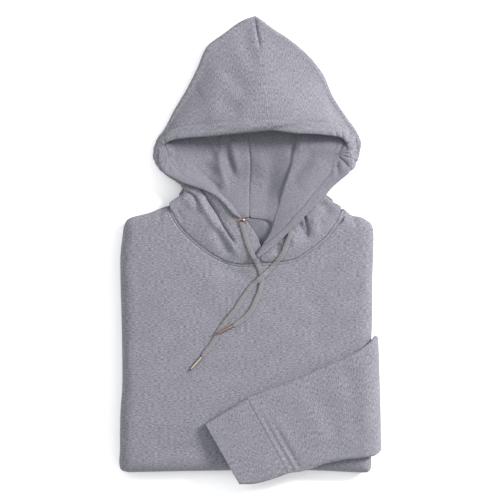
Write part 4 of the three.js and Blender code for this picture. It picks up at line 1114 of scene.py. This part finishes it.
def tube_parts(rows, half, step, table, edge):
    """Flattened tube: outside and inside faces, joined round both ends."""
    upper = np.array([row[0] for row in rows], float)
    lower = np.array([row[1] for row in rows], float)
    height = np.array([[row[2]] for row in rows], float)
    ends = np.concatenate([upper, lower, height], axis=1)
    middle = np.concatenate([(upper + lower) / 2, height], axis=1)
    knots = chord_knots(middle)
    samples = np.linspace(0, knots[-1], int(knots[-1] / step) + 2)
    ends = spline(knots, ends, samples)
    middle = np.column_stack([(ends[:, 0] + ends[:, 2]) / 2, (ends[:, 1] + ends[:, 3]) / 2, ends[:, 4]])
    across = np.column_stack([ends[:, 0] - ends[:, 2], ends[:, 1] - ends[:, 3], np.zeros(len(ends))])
    width = np.linalg.norm(across, axis=1)
    across /= width[:, None]
    normal = unit(np.cross(np.gradient(middle, axis=0), across))
    grids = []
    for inset in (0, TUBE_WALL):
        half_width, half_height = width / 2 - inset, half - inset
        turn = np.linspace(90, -90, TURN_STEPS)
        flat_steps = np.linspace(-1, 1, FLAT_STEPS)[1:-1]
        w, h = [], []
        for end in (1, -1):
            for angle in np.radians(turn):
                w.append(end * ((half_width - half_height) + half_height * math.cos(angle)))
                h.append(np.full(len(width), end * half_height * math.sin(angle)))
            for t in flat_steps:
                w.append(-end * (half_width - half_height) * t)
                h.append(np.full(len(width), -end * half_height))
        w, h = np.stack(w, axis=1), np.stack(h, axis=1)
        grid = middle[:, None, :] + across[:, None, :] * w[..., None] + normal[:, None, :] * h[..., None]
        if inset == 0:
            x, y = grid[..., 0], grid[..., 1]
            face = smooth(h / half_height)
            lift = creases(x, y, table) + ripple(x, y, 0.3, 3.0) + edge(samples)[:, None]
            grid = raised(grid, normal[:, None, :], lift * face)
            around = w
        grids.append(grid)
    outside, inside = grids
    rings, columns = outside.shape[:2]
    vertices = np.concatenate([outside.reshape(-1, 3), inside.reshape(-1, 3)])
    shift = rings * columns
    faces = [ring_faces(rings, columns), ring_faces(rings, columns, flip=True) + shift]
    for start in (0, shift - columns):
        a = start + np.arange(columns)
        b = np.roll(a, -1)
        faces.append(np.stack([a, b, b + shift, a + shift], axis=-1))
    grain = np.stack([around, np.broadcast_to(samples[:, None], around.shape)], axis=-1).reshape(-1, 2)
    return vertices, np.concatenate(faces), np.concatenate([grain, grain])


def cuff_edge(distance):
    """Sunk at the sleeve's seam, and rounded off at the open end."""
    return -0.35 * bell(distance, 1.2) - 0.5 * smooth((distance - distance[-1] + 2.6) / 1.8)


def sleeve_edge(distance):
    """Swells a little towards the cuff, and sinks at the seam."""
    return 0.5 * smooth((9 - distance) / 8) - 0.5 * bell(distance, 1.2)


# ---- drawcords

LEFT_CORD = [
    (-11.6, 35.4), (-8.2, 24), (-4.2, 10), (1, -3), (8.6, -17), (13.6, -30), (14.6, -41), (12.4, -54),
    (7.4, -65), (2, -77), (-6, -86.8), (-14.6, -94), (-23.6, -99.4),
]
RIGHT_CORD = [
    (53.8, 26.2), (52.2, 20.4), (47.8, 9), (42, -5.4), (33, -17), (24, -26.8), (13.4, -36.4), (3, -46),
    (-9.8, -62.4), (-18.7, -76.4), (-28.5, -88.9), (-35.4, -97.4), (-41.6, -106.4), (-46, -115.6),
    (-52.4, -125.4), (-59.4, -134.4), (-63.2, -139.8),
]
LEFT_EYELET = (-11.6, 35.4)
RIGHT_EYELET = (52.6, 28.8)
LEFT_EYELET_TILT = 22
RIGHT_EYELET_TILT = 6
EYELET_LIFT = -0.45        # the left ring, from the highest cloth round it
RIGHT_EYELET_SINK = 3.0    # hides the right ring under the hood's edge
LEFT_AGLET_TURN = -155     # degrees from +X
RIGHT_AGLET_TURN = -132
CORD_PROFILE = 16
CORD_STEP = 1.6
CORD_GAP = 0.15
CORD_SMOOTHING = 8
AGLET_GAP = 0.25
AGLET_OVERLAP = 0.6        # how far the metal end reaches back over the tape
CORD_NECK = (1.45, 1.35)   # half width and half thickness where the tape enters its metal end


def cord_route(route, tree):
    """The cord's middle line, laid on what lies under it, and its sideways direction."""
    flat = through(route, int(chord_knots(route)[-1] / CORD_STEP))
    side = np.gradient(flat, axis=0)
    side = unit(np.stack([-side[:, 1], side[:, 0]], axis=1))
    height = []
    for p, s in zip(flat, side):
        places = [p + s * shift for shift in (-3, -1.5, 0, 1.5, 3)]
        height.append(max(height_on(tree, *q) for q in places) + CORD_THICK / 2 + CORD_GAP)
    height = np.array(height)
    for _ in range(CORD_SMOOTHING):
        mean = (np.roll(height, 1) + height + np.roll(height, -1)) / 3
        mean[0], mean[-1] = height[0], height[-1]
        height = np.maximum(height, mean)
    height[-4:] += np.linspace(0, AGLET_RADIUS - CORD_THICK / 2, 4)
    return np.column_stack([flat, height]), side


def cord_part(path, side):
    """Flat woven tape that narrows into its metal end."""
    count = len(path)
    across = np.column_stack([side, np.zeros(count)])
    up = np.cross(unit(np.gradient(path, axis=0)), across)
    length = chord_knots(path)
    narrow = smooth((length[-1] - length) / 7)
    tilt = 0.16 * np.sin(length / 23) + 0.1 * np.sin(length / 9 + 1)
    tilt[:3] = 0
    width = CORD_NECK[0] + (CORD_WIDTH / 2 - CORD_NECK[0]) * narrow
    thick = CORD_NECK[1] + (CORD_THICK / 2 - CORD_NECK[1]) * narrow
    angle = np.linspace(0, 2 * math.pi, CORD_PROFILE, endpoint=False)
    w = np.sign(np.cos(angle)) * np.abs(np.cos(angle)) ** 0.55
    h = np.sign(np.sin(angle)) * np.abs(np.sin(angle)) ** 0.75
    rings = (path[:, None, :] + across[:, None, :] * (width[:, None] * w)[..., None]
             + up[:, None, :] * (thick[:, None] * h + (tilt * width * narrow)[:, None] * w * 0.4)[..., None])
    faces = ring_faces(count, CORD_PROFILE).tolist()
    faces.append(range(CORD_PROFILE))
    faces.append(range(count * CORD_PROFILE - 1, (count - 1) * CORD_PROFILE - 1, -1))
    grain = np.stack([np.broadcast_to(w * 3.2, (count, CORD_PROFILE)),
                      np.broadcast_to(length[:, None], (count, CORD_PROFILE))], axis=-1).reshape(-1, 2)
    return rings.reshape(-1, 3), faces, grain


def lathe_part(profile, count=40):
    """Closed ring or tube: profile points are (radius, height), turned about Z."""
    profile = np.asarray(profile, float)
    angle = np.linspace(0, 2 * math.pi, count, endpoint=False)
    rings = np.stack([np.outer(np.cos(angle), profile[:, 0]), np.outer(np.sin(angle), profile[:, 0]),
                      np.broadcast_to(profile[:, 1], (count, len(profile)))], axis=-1)
    index = np.arange(count * len(profile)).reshape(count, len(profile))
    a, b = index, np.roll(index, -1, axis=1)
    c, d = np.roll(b, -1, axis=0), np.roll(a, -1, axis=0)
    faces = np.stack([a, d, c, b], axis=-1).reshape(-1, 4)
    vertices = rings.reshape(-1, 3)
    return vertices, faces, vertices[:, :2]


def aglet_part(start, direction):
    """Thin metal tube with rolled ends, from start along direction."""
    outer, inner, length = AGLET_RADIUS, AGLET_RADIUS - 0.35, AGLET_LENGTH
    profile = [(inner, 2.0), (inner, 0.3), (outer - 0.15, 0), (outer + 0.12, 0.35), (outer + 0.12, 0.9),
               (outer, 1.3), (outer, length - 1.3), (outer + 0.1, length - 0.9), (outer + 0.1, length - 0.3),
               (outer - 0.3, length), (0.5, length), (0.35, length - 0.4), (0.35, 2.0)]
    vertices, faces, grain = lathe_part(profile)
    turn = np.array(Vector((0, 0, 1)).rotation_difference(Vector(direction)).to_matrix())
    return vertices @ turn.T + start, faces, grain


def eyelet_part(centre, tilt):
    """Rolled metal ring; tilt sinks its lower rim into the cloth."""
    profile = [(2.8, -0.2), (2.9, 0.5), (3.4, 1.0), (4.3, 1.15), (5.2, 0.95), (5.75, 0.45), (5.85, -0.15),
               (5.6, -0.35), (3.0, -0.35)]
    vertices, faces, grain = lathe_part(profile, 48)
    turn = np.array(Matrix.Rotation(math.radians(tilt), 3, "X"))
    return vertices @ turn.T + centre, faces, grain


def add_aglet(name, path, degrees, tree, material):
    """The metal end of a cord, from the path's last point, as steep as what lies under it asks."""
    heading = math.radians(degrees)
    start = path[-1]
    slopes = []
    for t in (0.3, 0.6, 1.0):
        x = start[0] + math.cos(heading) * AGLET_LENGTH * t
        y = start[1] + math.sin(heading) * AGLET_LENGTH * t
        slopes.append((height_on(tree, x, y) + AGLET_RADIUS + AGLET_GAP - start[2]) / (AGLET_LENGTH * t))
    direction = unit(np.array([math.cos(heading), math.sin(heading), max(slopes)]))
    return make_object(name, [aglet_part(start - direction * AGLET_OVERLAP, direction)], material)


# ---- make everything

front = make_object("front_cloth", [front_panel()], FLEECE)
layers = make_object("folded_layers_cloth", [folded_layers()], FLEECE)
hood_left = build_hood("hood_left_cloth", LEFT_CROWN, LEFT_COLLAR, -1, LEFT_COLLAR_SPAN)
hood_right = build_hood("hood_right_cloth", RIGHT_CROWN, RIGHT_COLLAR, 1, RIGHT_COLLAR_SPAN)
lining_left = build_lining("lining_left_cloth", LEFT_CROWN, LEFT_MOUTH, -1)
lining_right = build_lining("lining_right_cloth", RIGHT_CROWN, RIGHT_MOUTH, 1)
back_neck = build_back_neck()
sleeve_tube = tube_parts(SLEEVE, SLEEVE_HALF, SLEEVE_STEP, SLEEVE_CREASES, sleeve_edge)
sleeve = make_object("sleeve_cloth", [sleeve_tube], FLEECE)
cuff_tube = tube_parts(CUFF, CUFF_HALF, CUFF_STEP, CUFF_CREASES, cuff_edge)
cuff = make_object("cuff_cloth", [cuff_tube], FLEECE)

left_target = tree_of(hood_left, lining_left)
left_eyelet_height = max(height_on(left_target, LEFT_EYELET[0] + dx, LEFT_EYELET[1] + dy)
                         for dx in (-4, 0, 4) for dy in (-4, 0, 4)) + EYELET_LIFT
left_ring = eyelet_part((*LEFT_EYELET, left_eyelet_height), LEFT_EYELET_TILT)
eyelet_left = make_object("eyelet_left_ring", [left_ring], COPPER)
right_eyelet_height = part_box("eyelet_right")[0][2] / MM - RIGHT_EYELET_SINK
right_ring = eyelet_part((*RIGHT_EYELET, right_eyelet_height), RIGHT_EYELET_TILT)
eyelet_right = make_object("eyelet_right_ring", [right_ring], COPPER)

left_tree = tree_of(front, hood_left, lining_right, eyelet_left)
left_path, left_side = cord_route(LEFT_CORD, left_tree)
cord_left = make_object("drawcord_left_tape", [cord_part(left_path, left_side)], CORD)
right_tree = tree_of(front, hood_right, cord_left)
right_path, right_side = cord_route(RIGHT_CORD, right_tree)
cord_right = make_object("drawcord_right_tape", [cord_part(right_path, right_side)], CORD)
aglet_left = add_aglet("aglet_left_tube", left_path, LEFT_AGLET_TURN, tree_of(front, cord_right), COPPER)
aglet_right = add_aglet("aglet_right_tube", right_path, RIGHT_AGLET_TURN, tree_of(front), GOLD)

finish_piece(front, "front")
finish_piece(layers, "folded_layers")
finish_piece(hood_left, "hood_left")
finish_piece(hood_right, "hood_right")
finish_piece(lining_left, "lining_left")
finish_piece(lining_right, "lining_right")
finish_piece(back_neck, "back_neck")
finish_piece(sleeve, "sleeve")
finish_piece(cuff, "cuff")
finish_piece(eyelet_left, "eyelet_left")
finish_piece(eyelet_right, "eyelet_right")
finish_piece(cord_left, "drawcord_left")
finish_piece(cord_right, "drawcord_right")
finish_piece(aglet_left, "aglet_left")
finish_piece(aglet_right, "aglet_right")
